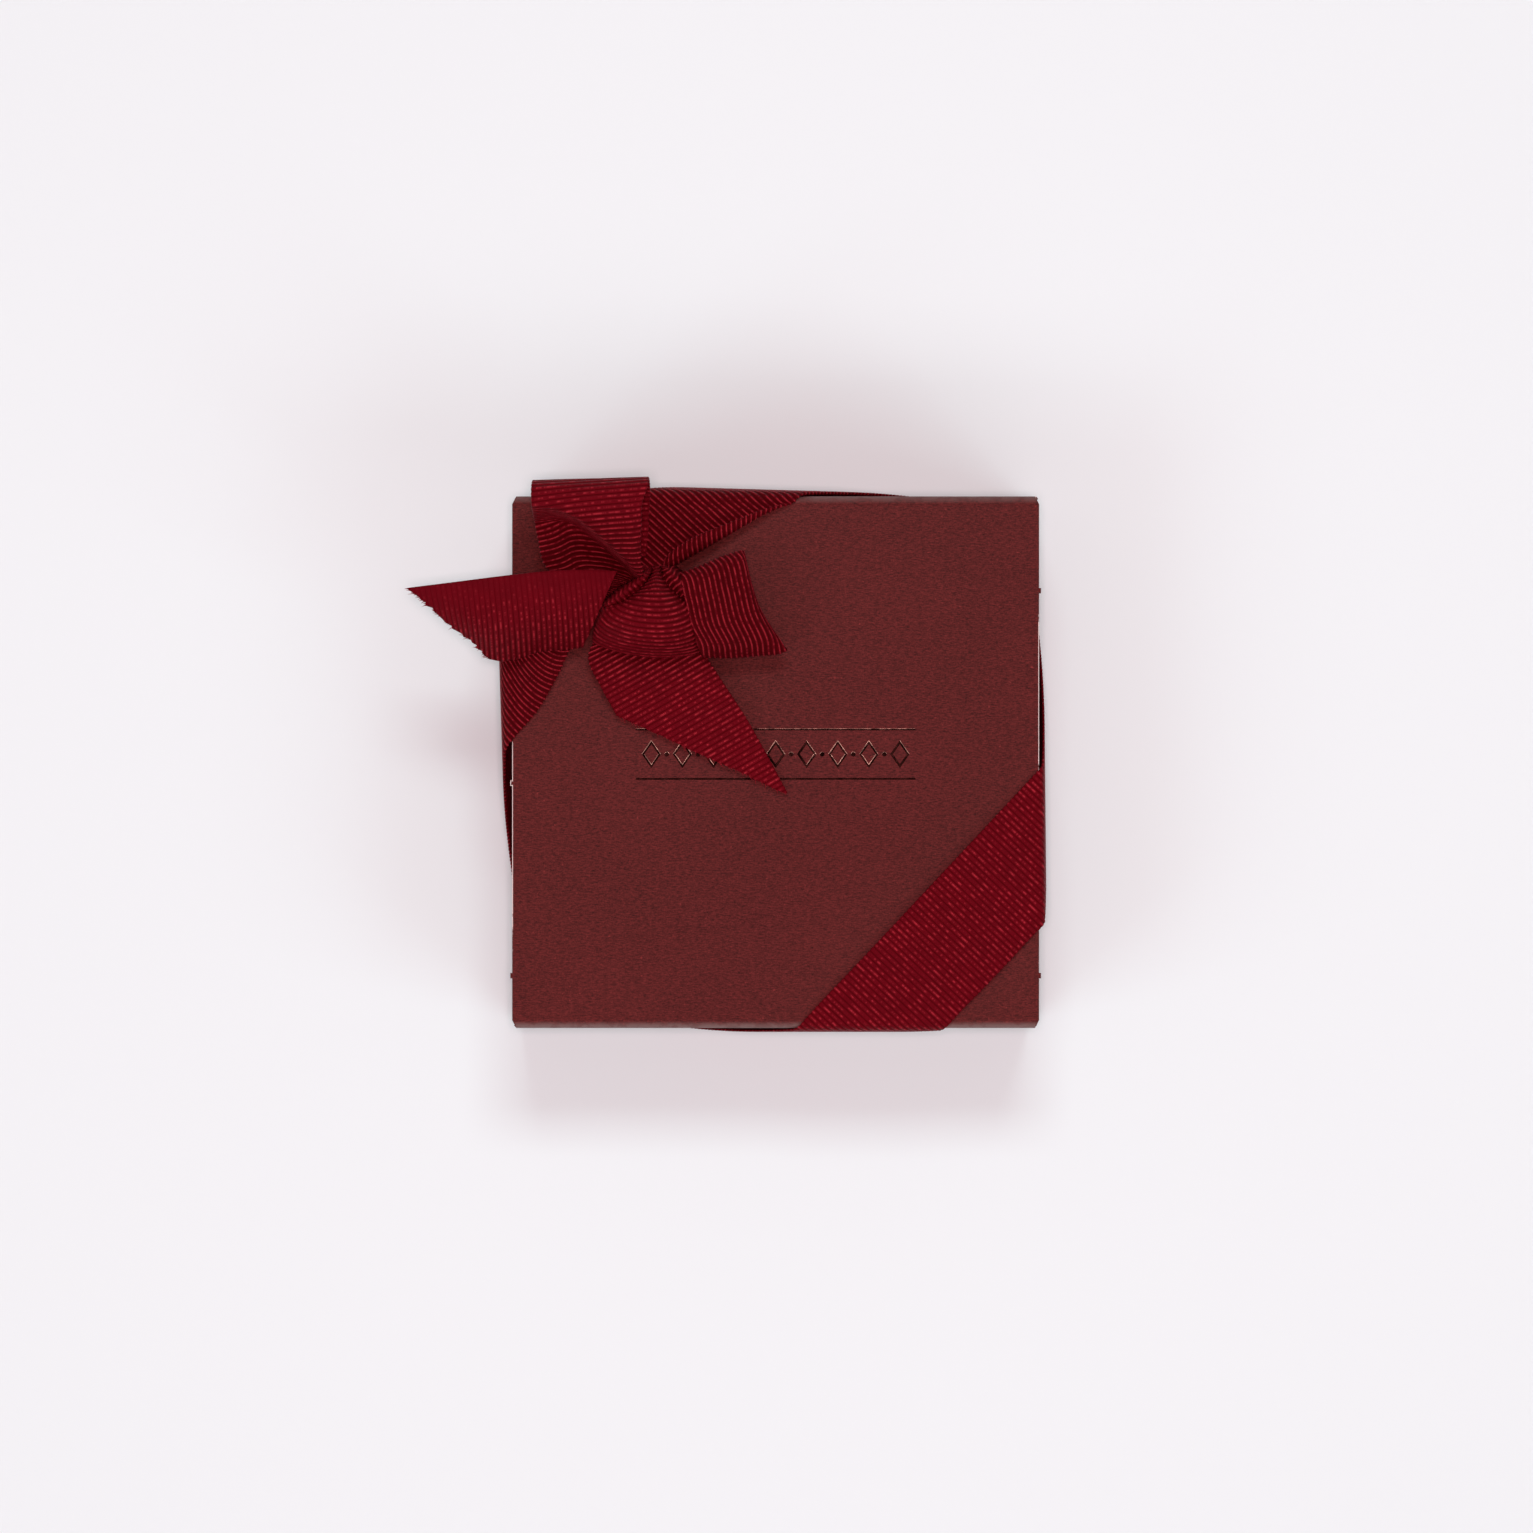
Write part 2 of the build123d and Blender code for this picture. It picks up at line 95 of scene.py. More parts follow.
class RibbonSizes(bpy.types.PropertyGroup):
    """Sizes and colours of the grosgrain ribbon."""

    width: FloatProperty(
        name="Width", description="Ribbon from selvedge to selvedge", default=0.020, unit="LENGTH"
    )
    body: FloatProperty(
        name="Body", description="Thickness between the grooves of the two faces",
        default=0.00022, unit="LENGTH", precision=5,
    )
    rib_pitch: FloatProperty(
        name="Rib pitch", description="Distance from one rib to the next",
        default=0.001, unit="LENGTH", precision=5,
    )
    rib_height: FloatProperty(
        name="Rib height", description="How far a rib stands over its grooves",
        default=0.00009, unit="LENGTH", precision=5,
    )
    rib_sharpness: FloatProperty(
        name="Rib sharpness", description="Power of a closed rib's profile: lower is fuller",
        default=0.8, min=0.2, max=4.0,
    )
    open_sharpness: FloatProperty(
        name="Open rib sharpness",
        description="Power of a rib's profile where a bend opens the ribs",
        default=2.4, min=0.2, max=6.0,
    )
    thread_pitch: FloatProperty(
        name="Thread pitch", description="Distance between the fine threads that wrap the ribs",
        default=0.00024, unit="LENGTH", precision=5,
    )
    steps_per_rib: IntProperty(
        name="Steps per rib", description="Rows of mesh over one rib", default=7, min=4, max=12
    )
    columns: IntProperty(
        name="Columns", description="Mesh columns across the ribbon", default=26, min=8, max=60
    )
    rib_colour: FloatVectorProperty(
        name="Rib colour", description="Colour on top of the ribs",
        default=(0.112, 0.0010, 0.0044), subtype="COLOR",
    )
    # Painted shade: the grooves between the ribs are coloured darker than the ribs
    groove_shade_colour: FloatVectorProperty(
        name="Groove shade colour", description="Colour down between the ribs",
        default=(0.060, 0.0002, 0.0013), subtype="COLOR",
    )
    # Painted highlight: a lighter colour for the threads on each rib's crest, standing in for the
    # light that they catch
    painted_glint_colour: FloatVectorProperty(
        name="Painted glint colour", description="Colour of the threads that catch the light on each rib",
        default=(0.33, 0.016, 0.026), subtype="COLOR",
    )
    fray_length: FloatProperty(
        name="Fray length", description="Longest loose thread at a cut end",
        default=0.0014, unit="LENGTH", precision=5,
    )
    fray_seed: IntProperty(name="Fray seed", description="Seed of the loose threads", default=7)


class BoardLook(bpy.types.PropertyGroup):
    """Colours and surface of the box's board, foil and inserts."""

    colour: FloatVectorProperty(
        name="Board colour", description="Burgundy of the dyed board",
        default=(0.0898, 0.0113, 0.0113), subtype="COLOR",
    )
    # Painted highlight and wear: the paler colour of the folds stands in for the light that the
    # rounded folds catch, and for rubbed wear
    fold_highlight_and_wear_colour: FloatVectorProperty(
        name="Fold highlight and wear colour", description="Board along the folds, with painted highlight and rubbed wear",
        default=(0.205, 0.115, 0.110), subtype="COLOR",
    )
    core_colour: FloatVectorProperty(
        name="Core colour", description="Pale core at the raw edges",
        default=(0.80, 0.60, 0.585), subtype="COLOR",
    )
    fibre_length: FloatProperty(
        name="Fibre length", description="Length of the felt marks along the board",
        default=0.0008, unit="LENGTH", precision=5,
    )
    # Painted reflection: the foil's colour is darkened to stand in for the dark ceiling that it
    # would mirror
    foil_painted_reflection_colour: FloatVectorProperty(
        name="Foil colour", description="Stamped foil, darkened as a painted reflection of a dark ceiling",
        default=(0.030, 0.006, 0.005), subtype="COLOR",
    )
    # Painted highlight: a lighter foil colour for the pressed edges that face the front light
    foil_painted_highlight_colour: FloatVectorProperty(
        name="Foil painted highlight colour", description="Foil where its pressed edge catches the light",
        default=(0.66, 0.27, 0.215), subtype="COLOR",
    )
    foil_edge: FloatProperty(
        name="Foil edge", description="Width of the foil's pressed edge",
        default=0.00007, unit="LENGTH", precision=5,
    )
    foil_drop: FloatProperty(
        name="Foil drop", description="How far the foil's pressed edge slopes down",
        default=0.00004, unit="LENGTH", precision=5,
    )
    divider_colour: FloatVectorProperty(
        name="Divider colour", description="Food board of the dividers",
        default=(0.060, 0.030, 0.022), subtype="COLOR",
    )
    liner_colour: FloatVectorProperty(
        name="Liner colour", description="Greaseproof sheet on the tray's floor",
        default=(0.66, 0.58, 0.45), subtype="COLOR",
    )
    score_depth: FloatProperty(
        name="Score depth", description="Depth of the score line beside each fold of the lid",
        default=0.00006, unit="LENGTH", precision=5,
    )
    score_width: FloatProperty(
        name="Score width", description="Width of the score line",
        default=0.0005, unit="LENGTH", precision=5,
    )
    burr: FloatProperty(
        name="Raw edge burr", description="Rounding of the raw edges, where the core shows",
        default=0.00015, unit="LENGTH", precision=5,
    )
    corner_wear: FloatVectorProperty(
        name="Corner wear",
        description="How far each corner of the sleeve is pressed in, front ones first",
        default=(0.0006, 0.0008, 0.0008, 0.0003), size=4, precision=5, unit="LENGTH",
    )


class StageLook(bpy.types.PropertyGroup):
    """Floor, lights and camera."""

    floor_colour: FloatVectorProperty(
        name="Floor colour", description="Pale tabletop",
        default=(0.858, 0.857, 0.892), subtype="COLOR",
    )
    fill: FloatProperty(
        name="Fill", description="Strength of the light from all round", default=0.215, min=0.0
    )
    fill_colour: FloatVectorProperty(
        name="Fill colour", description="Tint of the light from above and all round",
        default=(1.0, 0.745, 0.755), subtype="COLOR",
    )
    front_colour: FloatVectorProperty(
        name="Front colour", description="Tint of the wide light in front",
        default=(1.0, 1.0, 0.99), subtype="COLOR",
    )
    side_colour: FloatVectorProperty(
        name="Side colour", description="Tint of the lights at the front corners",
        default=(0.68, 1.0, 0.985), subtype="COLOR",
    )
    back_colour: FloatVectorProperty(
        name="Back colour", description="Tint of the light behind",
        default=(0.79, 1.0, 0.965), subtype="COLOR",
    )
    front_power: FloatProperty(
        name="Front light", description="Power of the wide light in front",
        default=3.3, unit="POWER",
    )
    side_power: FloatProperty(
        name="Side lights", description="Power of each of the two lights at the front corners",
        default=3.3, unit="POWER",
    )
    back_power: FloatProperty(
        name="Back light", description="Power of the light behind", default=5.2, unit="POWER"
    )
    top_power: FloatProperty(
        name="Top light", description="Power of the small light over the camera",
        default=6.5, unit="POWER",
    )
    camera_height: FloatProperty(
        name="Camera height", description="Camera over the lid", default=1.1, unit="LENGTH"
    )
    view_width: FloatProperty(
        name="View width", description="Width that the picture takes in at the lid",
        default=0.28508, unit="LENGTH",
    )
    view_centre: FloatVectorProperty(
        name="View centre", description="Point of the lid in the middle of the picture",
        default=(-0.0017, -0.0008), size=2, subtype="XYZ", unit="LENGTH",
    )


# Node trees
class Wiring:
    """Adds nodes to a tree, with their settings, fixed inputs and links in one call."""

    def __init__(self, tree):
        self.tree = tree

    def add(self, kind, inputs=None, **settings):
        node = self.tree.nodes.new(kind)
        for name, value in settings.items():
            setattr(node, name, value)
        for key, value in (inputs or {}).items():
            socket = node.inputs[key]
            if isinstance(value, bpy.types.NodeSocket):
                self.tree.links.new(value, socket)
            else:
                socket.default_value = value
        return node

    def math(self, operation, first, second=0.0):
        return self.add("ShaderNodeMath", {0: first, 1: second}, operation=operation).outputs[0]

    def product(self, value, *others):
        for other in others:
            value = self.math("MULTIPLY", value, other)
        return value

    def total(self, value, *others):
        for other in others:
            value = self.math("ADD", value, other)
        return value

    def waves(self, value):
        """Rounded crests, one for each whole step of the value."""
        return self.math("ABSOLUTE", self.math("SINE", self.product(value, math.pi)))

    def vector(self, operation, first, second):
        node = self.add("ShaderNodeVectorMath", {0: first, 1: second}, operation=operation)
        return node.outputs[0]

    def scaled(self, vector, factor):
        node = self.add("ShaderNodeVectorMath", {0: vector, "Scale": factor}, operation="SCALE")
        return node.outputs[0]

    def ramp(self, value, low, high, to_low=0.0, to_high=1.0):
        """Value from low to high, eased and clamped, as to_low to to_high."""
        values = {0: value, 1: low, 2: high, 3: to_low, 4: to_high}
        node = self.add("ShaderNodeMapRange", values, interpolation_type="SMOOTHSTEP")
        return node.outputs[0]

    def mixed(self, factor, first, second):
        """The first colour turned into the second by a factor. Sockets 6 and 7 are the colours."""
        values = {0: factor, 6: first, 7: second}
        return self.add("ShaderNodeMix", values, data_type="RGBA").outputs[2]

    def noise(self, vector, scale, detail=2.0, roughness=0.5):
        values = {"Vector": vector, "Scale": scale, "Detail": detail, "Roughness": roughness}
        return self.add("ShaderNodeTexNoise", values).outputs[0]

    def parts(self, vector):
        return self.add("ShaderNodeSeparateXYZ", {0: vector}).outputs

    def attribute(self, name, kind):
        """A named attribute in a geometry node tree."""
        node = self.add("GeometryNodeInputNamedAttribute", {"Name": name}, data_type=kind)
        return node.outputs[0]

    def finished(self, geometry, material):
        """Geometry with its instances made real and its material set."""
        real = self.add("GeometryNodeRealizeInstances", {"Geometry": geometry}).outputs[0]
        values = {"Geometry": real, "Material": material}
        return self.add("GeometryNodeSetMaterial", values).outputs[0]


def solid(colour):
    """A colour property with its alpha."""
    return (*colour, 1.0)


def new_group(name, kind, inputs, outputs):
    """A node group with named sockets. Each is a name, a socket type and a default."""
    tree = bpy.data.node_groups.new(name, kind)
    for names, direction in ((inputs, "INPUT"), (outputs, "OUTPUT")):
        for label, socket_type, default in names:
            socket = tree.interface.new_socket(label, in_out=direction, socket_type=socket_type)
            if default is not None:
                socket.default_value = default
    wiring = Wiring(tree)
    return wiring, wiring.add("NodeGroupInput").outputs, wiring.add("NodeGroupOutput").inputs


def join(wiring, pairs):
    """Link each output to the input beside it."""
    for output, target in pairs:
        wiring.tree.links.new(output, target)


FLOAT, VECTOR, COLOUR = "NodeSocketFloat", "NodeSocketVector", "NodeSocketColor"
GEOMETRY, MATERIAL, WHOLE = "NodeSocketGeometry", "NodeSocketMaterial", "NodeSocketInt"

# Marks of uncoated board, by how many there are to the metre
SPECKS, MOTES, CLOUDS = 3600.0, 1500.0, 38.0


def board_fibre_group():
    """Felt marks and specks of uncoated board."""
    wiring, given, put = new_group(
        "Board fibre",
        "ShaderNodeTree",
        [
            ("Vector", VECTOR, None),
            ("Color", COLOUR, (0.1, 0.02, 0.02, 1.0)),
            ("Fibre Length", FLOAT, 0.003),
            ("Contrast", FLOAT, 0.3),
        ],
        [("Color", COLOUR, None), ("Height", FLOAT, None)],
    )
    size = wiring.math("DIVIDE", 1.0, given["Fibre Length"])
    along = wiring.vector("MULTIPLY", given["Vector"], (1.0, 4.0, 4.0))
    streaks = wiring.noise(wiring.scaled(along, size), 1.0, 4.0, 0.62)
    specks = wiring.noise(given["Vector"], SPECKS, roughness=0.6)
    clouds = wiring.noise(given["Vector"], CLOUDS)
    height = wiring.total(wiring.product(streaks, 0.65), wiring.product(specks, 0.35))
    spread = wiring.math("SUBTRACT", height, 0.5)
    cloudy = wiring.product(wiring.math("SUBTRACT", clouds, 0.5), 0.25)
    change = wiring.total(wiring.product(spread, given["Contrast"]), cloudy)
    motes = wiring.ramp(wiring.noise(given["Vector"], MOTES, detail=0.0), 0.79, 0.86, 0.0, 0.9)
    colour = wiring.scaled(given["Color"], wiring.total(1.0, motes, change))
    join(wiring, [(colour, put["Color"]), (height, put["Height"])])
    return wiring.tree


def wear_group():
    """Patchy mask for rubbed and torn edges."""
    wiring, given, put = new_group(
        "Edge wear",
        "ShaderNodeTree",
        [("Vector", VECTOR, None), ("Scale", FLOAT, 300.0), ("Amount", FLOAT, 0.5)],
        [("Mask", FLOAT, None)],
    )
    patches = wiring.noise(given["Vector"], given["Scale"], 3.0, 0.6)
    low = wiring.math("SUBTRACT", 0.9, given["Amount"])
    join(wiring, [(wiring.ramp(patches, low, wiring.total(low, 0.15)), put["Mask"])])
    return wiring.tree


def grosgrain_group():
    """Colour, fine height and roughness of ribs wrapped in fine threads; the colour holds painted
    shade and painted highlights.
    """
    wiring, given, put = new_group(
        "Grosgrain",
        "ShaderNodeTree",
        [
            ("Weave", VECTOR, None),
            ("Open", FLOAT, 0.0),
            ("Rib Pitch", FLOAT, 0.001),
            ("Thread Pitch", FLOAT, 0.00024),
            ("Rib Color", COLOUR, (0.15, 0.005, 0.01, 1.0)),
            ("Groove Color", COLOUR, (0.06, 0.001, 0.002, 1.0)),
            ("Glint Color", COLOUR, (0.3, 0.03, 0.04, 1.0)),
        ],
        [("Color", COLOUR, None), ("Height", FLOAT, None), ("Roughness", FLOAT, None)],
    )
    opened = given["Open"]
    place = wiring.parts(given["Weave"])
    rib = wiring.math("DIVIDE", place["Y"], given["Rib Pitch"])
    thread = wiring.math("DIVIDE", place["X"], given["Thread Pitch"])
    number = wiring.math("FLOOR", rib)
    crest, strand = wiring.waves(rib), wiring.waves(thread)
    # Beads of thread that differ from rib to rib
    own = {"X": wiring.product(thread, 0.24), "Y": wiring.product(number, 7.3)}
    beads = wiring.noise(wiring.add("ShaderNodeCombineXYZ", own).outputs[0], 1.0, 3.0, 0.65)
    # Painted shade: where the ribs stand open, more of each rib takes the darker groove shade
    # colour
    low = wiring.product(opened, 0.5)
    body = wiring.ramp(crest, low, wiring.total(low, 0.6))
    colour = wiring.mixed(body, given["Groove Color"], given["Rib Color"])
    # Painted highlight: threads on top of a rib take the lighter highlight colour, more of them
    # where the ribs stand open and fewer where the open value is below nought
    wider = wiring.product(opened, 0.09)
    glint_beads = wiring.ramp(wiring.total(beads, wider), 0.45, 0.66)
    glint_beads = wiring.product(glint_beads, wiring.ramp(opened, -0.6, 0.0, 0.25, 1.0))
    painted_glint = wiring.product(wiring.ramp(crest, wiring.total(0.78, wider), 1.0), glint_beads)
    colour = wiring.mixed(painted_glint, colour, given["Glint Color"])
    patches = wiring.noise(wiring.scaled(given["Weave"], 210.0), 1.0)
    vary = wiring.product(wiring.math("SUBTRACT", patches, 0.5), 0.4)
    # Painted shade: the colour is darker where the ribs stand open
    spread = wiring.product(wiring.math("MAXIMUM", opened, 0.0), -0.15)
    colour = wiring.scaled(colour, wiring.total(1.0, vary, spread))
    height = wiring.product(wiring.total(wiring.product(strand, 0.4), beads), crest)
    roughness = wiring.math("SUBTRACT", 0.78, wiring.product(crest, 0.26))
    join(wiring, [(colour, put["Color"]), (height, put["Height"]), (roughness, put["Roughness"])])
    return wiring.tree


def rib_tree():
    """Raises the ribs of a plain stretch of ribbon along its normals."""
    wiring, given, put = new_group(
        "Ribbon ribs",
        "GeometryNodeTree",
        [
            ("Geometry", GEOMETRY, None),
            ("Rib Pitch", FLOAT, 0.001),
            ("Rib Height", FLOAT, 0.0001),
            ("Sharpness", FLOAT, 0.75),
            ("Open Sharpness", FLOAT, 2.0),
            ("Material", MATERIAL, None),
        ],
        [("Geometry", GEOMETRY, None)],
    )
    opened = wiring.attribute("open", "FLOAT")
    along = wiring.parts(wiring.attribute("Weave", "FLOAT_VECTOR"))["Y"]
    crest = wiring.waves(wiring.math("DIVIDE", along, given["Rib Pitch"]))
    sharper = wiring.math("SUBTRACT", given["Open Sharpness"], given["Sharpness"])
    power = wiring.total(given["Sharpness"], wiring.product(sharper, opened))
    profile = wiring.math("POWER", crest, wiring.math("MAXIMUM", 0.4, power))
    tall = wiring.math("MAXIMUM", 0.3, wiring.total(1.0, wiring.product(opened, 1.2)))
    lift = wiring.product(profile, given["Rib Height"], tall)
    offset = wiring.scaled(wiring.add("GeometryNodeInputNormal").outputs[0], lift)
    raised = {"Geometry": given["Geometry"], "Offset": offset}
    ribs = wiring.add("GeometryNodeSetPosition", raised).outputs[0]
    join(wiring, [(wiring.finished(ribs, given["Material"]), put["Geometry"])])
    return wiring.tree


def fray_tree():
    """Loose threads along a cut end, pointing out of it."""
    wiring, given, put = new_group(
        "Frayed threads",
        "GeometryNodeTree",
        [
            ("Geometry", GEOMETRY, None),
            ("Longest", FLOAT, 0.001),
            ("Thickness", FLOAT, 0.00005),
            ("Seed", WHOLE, 1),
            ("Material", MATERIAL, None),
        ],
        [("Geometry", GEOMETRY, None)],
    )
    shape = {
        "Vertices": 5, "Side Segments": 2,
        "Radius Bottom": given["Thickness"], "Depth": given["Longest"],
    }
    thread = wiring.add("GeometryNodeMeshCone", shape, fill_type="TRIANGLE_FAN").outputs[0]
    seed = given["Seed"]
    tilt = {"Min": (-0.5, -0.5, -0.3), "Max": (0.5, 0.5, 0.5), "Seed": seed}
    jitter = wiring.add("FunctionNodeRandomValue", tilt, data_type="FLOAT_VECTOR").outputs[0]
    aim = wiring.vector("ADD", wiring.attribute("outward", "FLOAT_VECTOR"), jitter)
    turn = wiring.add("FunctionNodeAlignRotationToVector", {"Vector": aim}, axis="Z").outputs[0]
    # Most threads are short: the draw is cubed
    length = wiring.add("FunctionNodeRandomValue", data_type="FLOAT")
    lowest, highest = [item for item in length.inputs if item.type == "VALUE" and item.enabled]
    lowest.default_value, highest.default_value = 0.05, 1.0
    join(wiring, [(seed, length.inputs["Seed"])])
    drawn = next(item for item in length.outputs if item.enabled)
    size = {"X": 1.0, "Y": 1.0, "Z": wiring.math("POWER", drawn, 3.0)}
    placed = wiring.add(
        "GeometryNodeInstanceOnPoints",
        {
            "Points": given["Geometry"],
            "Instance": thread,
            "Rotation": turn,
            "Scale": wiring.add("ShaderNodeCombineXYZ", size).outputs[0],
        },
    ).outputs[0]
    join(wiring, [(wiring.finished(placed, given["Material"]), put["Geometry"])])
    return wiring.tree


def kept(store, name, make):
    """What is already there under that name, or a new one."""
    return store.get(name) or make()


def group_node(wiring, name, make, inputs):
    """A shader node group placed in a material with its own values."""
    tree = kept(bpy.data.node_groups, name, make)
    return wiring.add("ShaderNodeGroup", inputs, node_tree=tree).outputs


def fibre_node(wiring, colour, length, contrast):
    """Board fibre over the whole piece."""
    return group_node(
        wiring, "Board fibre", board_fibre_group,
        {
            "Vector": place_of(wiring),
            "Color": solid(colour),
            "Fibre Length": length,
            "Contrast": contrast,
        },
    )


def wear_mask(wiring, scale, amount):
    """Patches of wear over the whole piece."""
    inputs = {"Vector": place_of(wiring), "Scale": scale, "Amount": amount}
    return group_node(wiring, "Edge wear", wear_group, inputs)["Mask"]


def new_material(name):
    """An empty node material with its Principled shader."""
    material = bpy.data.materials.new(name)
    material.use_nodes = True
    wiring = Wiring(material.node_tree)
    return material, wiring, material.node_tree.nodes["Principled BSDF"]


def finish_surface(wiring, shader, colour, height=None, distance=0.0, roughness=None, strength=1.0):
    """Feed a Principled shader its colour, its bump and its roughness."""
    wiring.tree.links.new(colour, shader.inputs["Base Color"])
    if height is not None:
        values = {"Strength": strength, "Distance": distance, "Height": height}
        normal = wiring.add("ShaderNodeBump", values).outputs[0]
        wiring.tree.links.new(normal, shader.inputs["Normal"])
    if roughness is not None:
        wiring.tree.links.new(roughness, shader.inputs["Roughness"])


def set_shader(shader, **values):
    """Fixed values on a shader's own sockets."""
    for name, value in values.items():
        shader.inputs[name.replace("_", " ")].default_value = value


def place_of(wiring):
    """Object coordinates, which are the frame's own."""
    return wiring.add("ShaderNodeTexCoord").outputs["Object"]


# How strongly the painted highlight and rubbed wear show on the back folds, the front ones being
# one
BACK_FOLD_HIGHLIGHT_AND_RUB = 0.62
# Stretches of the lid's raw edges that are torn pale: where each starts, is full, fades and ends
TORN_LEFT = (-0.036, -0.026, 0.002, 0.006)
TORN_RIGHT = (-0.004, 0.001, 0.024, 0.029)


def board_material():
    """Burgundy board, paler along the folds: painted highlight where the rounded folds catch the
    light, in patches of rubbed wear.
    """
    look = bpy.context.scene.board_look
    material, wiring, shader = new_material("burgundy board")
    parts = wiring.parts(place_of(wiring))
    out = wiring.ramp(wiring.math("ABSOLUTE", parts["Y"]), FLAT_END, FLAT_END + 0.9 * FOLD_RADIUS)
    rise = wiring.math("ABSOLUTE", wiring.math("SUBTRACT", parts["Z"], SLEEVE_MIDDLE))
    fold = SLEEVE_HEIGHT / 2 - FOLD_RADIUS
    up = wiring.ramp(rise, fold - FOLD_RADIUS, fold)
    patchy = wiring.total(0.65, wiring.product(wear_mask(wiring, 420.0, 0.5), 0.35))
    # Painted highlight along the rounded folds, in patches of rubbed wear, weaker on the back folds
    fold_highlight_and_rub = wiring.product(out, up, patchy, wiring.ramp(parts["Y"], 0.0, 0.01, 1.0, BACK_FOLD_HIGHLIGHT_AND_RUB))
    fibre = fibre_node(wiring, look.colour, look.fibre_length, 4.4)
    colour = wiring.mixed(fold_highlight_and_rub, fibre["Color"], solid(look.fold_highlight_and_wear_colour))
    finish_surface(wiring, shader, colour, fibre["Height"], 0.00006, strength=0.8)
    set_shader(shader, Roughness=0.55, Specular_IOR_Level=0.10)
    return material


def torn_stretch(wiring, value, start, full, fading, end):
    """One between full and fading, nought before start and after end."""
    return wiring.product(wiring.ramp(value, start, full), wiring.ramp(value, end, fading))


def core_material():
    """Cut edge of the board, pale where the cut has torn it."""
    look = bpy.context.scene.board_look
    material, wiring, shader = new_material("board core")
    parts = wiring.parts(place_of(wiring))
    on_right = wiring.math("GREATER_THAN", parts["X"], 0.0)
    on_left = wiring.math("SUBTRACT", 1.0, on_right)
    torn = wiring.total(
        wiring.product(torn_stretch(wiring, parts["Y"], *TORN_RIGHT), on_right),
        wiring.product(torn_stretch(wiring, parts["Y"], *TORN_LEFT), on_left),
    )
    under_lid = wiring.ramp(parts["Z"], LID_TOP - 0.0008, LID_TOP - 0.0006, 1.0, 0.0)
    amount = wiring.total(0.26, wiring.product(wiring.math("MAXIMUM", torn, under_lid), 0.44))
    fibre = fibre_node(wiring, look.core_colour, 0.0008, 0.4)
    colour = wiring.mixed(wear_mask(wiring, 900.0, amount), solid(look.colour), fibre["Color"])
    finish_surface(wiring, shader, colour, fibre["Height"], 0.00004)
    set_shader(shader, Roughness=0.8, Specular_IOR_Level=0.2)
    return material


def plain_board_material(name, colour, length, contrast, roughness, wear_colour, wear_amount):
    """Board or paper of one colour, with fibres and patchy wear."""
    material, wiring, shader = new_material(name)
    fibre = fibre_node(wiring, colour, length, contrast)
    mask = wiring.product(wear_mask(wiring, 520.0, wear_amount), 0.12)
    tint = wiring.mixed(mask, fibre["Color"], wear_colour)
    finish_surface(wiring, shader, tint, fibre["Height"], 0.00005)
    set_shader(shader, Roughness=roughness, Specular_IOR_Level=0.25)
    return material


def foil_material(name, colour):
    """Stamped foil, with the board's texture pressed through it."""
    material, wiring, shader = new_material(name)
    place = place_of(wiring)
    ripple = wiring.noise(place, 2600.0, 3.0, 0.6)
    clouds = wiring.noise(place, 620.0)
    dark = tuple(value * 0.3 for value in colour)
    tint = wiring.mixed(wiring.ramp(clouds, 0.34, 0.62), solid(dark), solid(colour))
    roughness = wiring.ramp(ripple, 0.3, 0.7, 0.16, 0.34)
    finish_surface(wiring, shader, tint, ripple, 0.00012, roughness)
    set_shader(shader, Metallic=1.0)
    return material


def glue_material():
    """Dried film of glue, cloudy where it is thin."""
    material, wiring, shader = new_material("dried glue")
    drops = wiring.noise(place_of(wiring), 700.0)
    colour = wiring.mixed(drops, (0.70, 0.62, 0.48, 1.0), (0.84, 0.80, 0.70, 1.0))
    finish_surface(wiring, shader, colour, drops, 0.00003)
    set_shader(shader, Roughness=0.45)
    return material


def ribbon_material():
    """Crimson grosgrain, read from the ribbon's own weave map."""
    sizes = bpy.context.scene.ribbon_sizes
    material, wiring, shader = new_material("crimson grosgrain")
    weave = wiring.add("ShaderNodeUVMap", uv_map="Weave").outputs[0]
    opened = wiring.add("ShaderNodeAttribute", attribute_name="open").outputs["Fac"]
    cloth = group_node(
        wiring, "Grosgrain", grosgrain_group,
        {
            "Weave": weave,
            "Open": opened,
            "Rib Pitch": sizes.rib_pitch,
            "Thread Pitch": sizes.thread_pitch,
            "Rib Color": solid(sizes.rib_colour),
            "Groove Color": solid(sizes.groove_shade_colour),
            "Glint Color": solid(sizes.painted_glint_colour),
        },
    )
    finish_surface(wiring, shader, cloth["Color"], cloth["Height"], 0.00006, cloth["Roughness"])
    set_shader(shader, Specular_IOR_Level=0.12, Specular_Tint=(1.0, 0.25, 0.32, 1.0))
    return material


def thread_material():
    """Loose threads at the ribbon's cut ends, spotted with the painted highlight colour of the
    ribs.
    """
    sizes = bpy.context.scene.ribbon_sizes
    material, wiring, shader = new_material("loose thread")
    spots = wiring.noise(place_of(wiring), 2400.0)
    colour = wiring.mixed(spots, solid(sizes.rib_colour), solid(sizes.painted_glint_colour))
    finish_surface(wiring, shader, colour)
    set_shader(shader, Roughness=0.6, Specular_IOR_Level=0.1, Specular_Tint=(1.0, 0.3, 0.35, 1.0))
    return material


# Ribbon shapes
EVEN = (0.0, 0.25, 0.5, 0.75, 1.0)


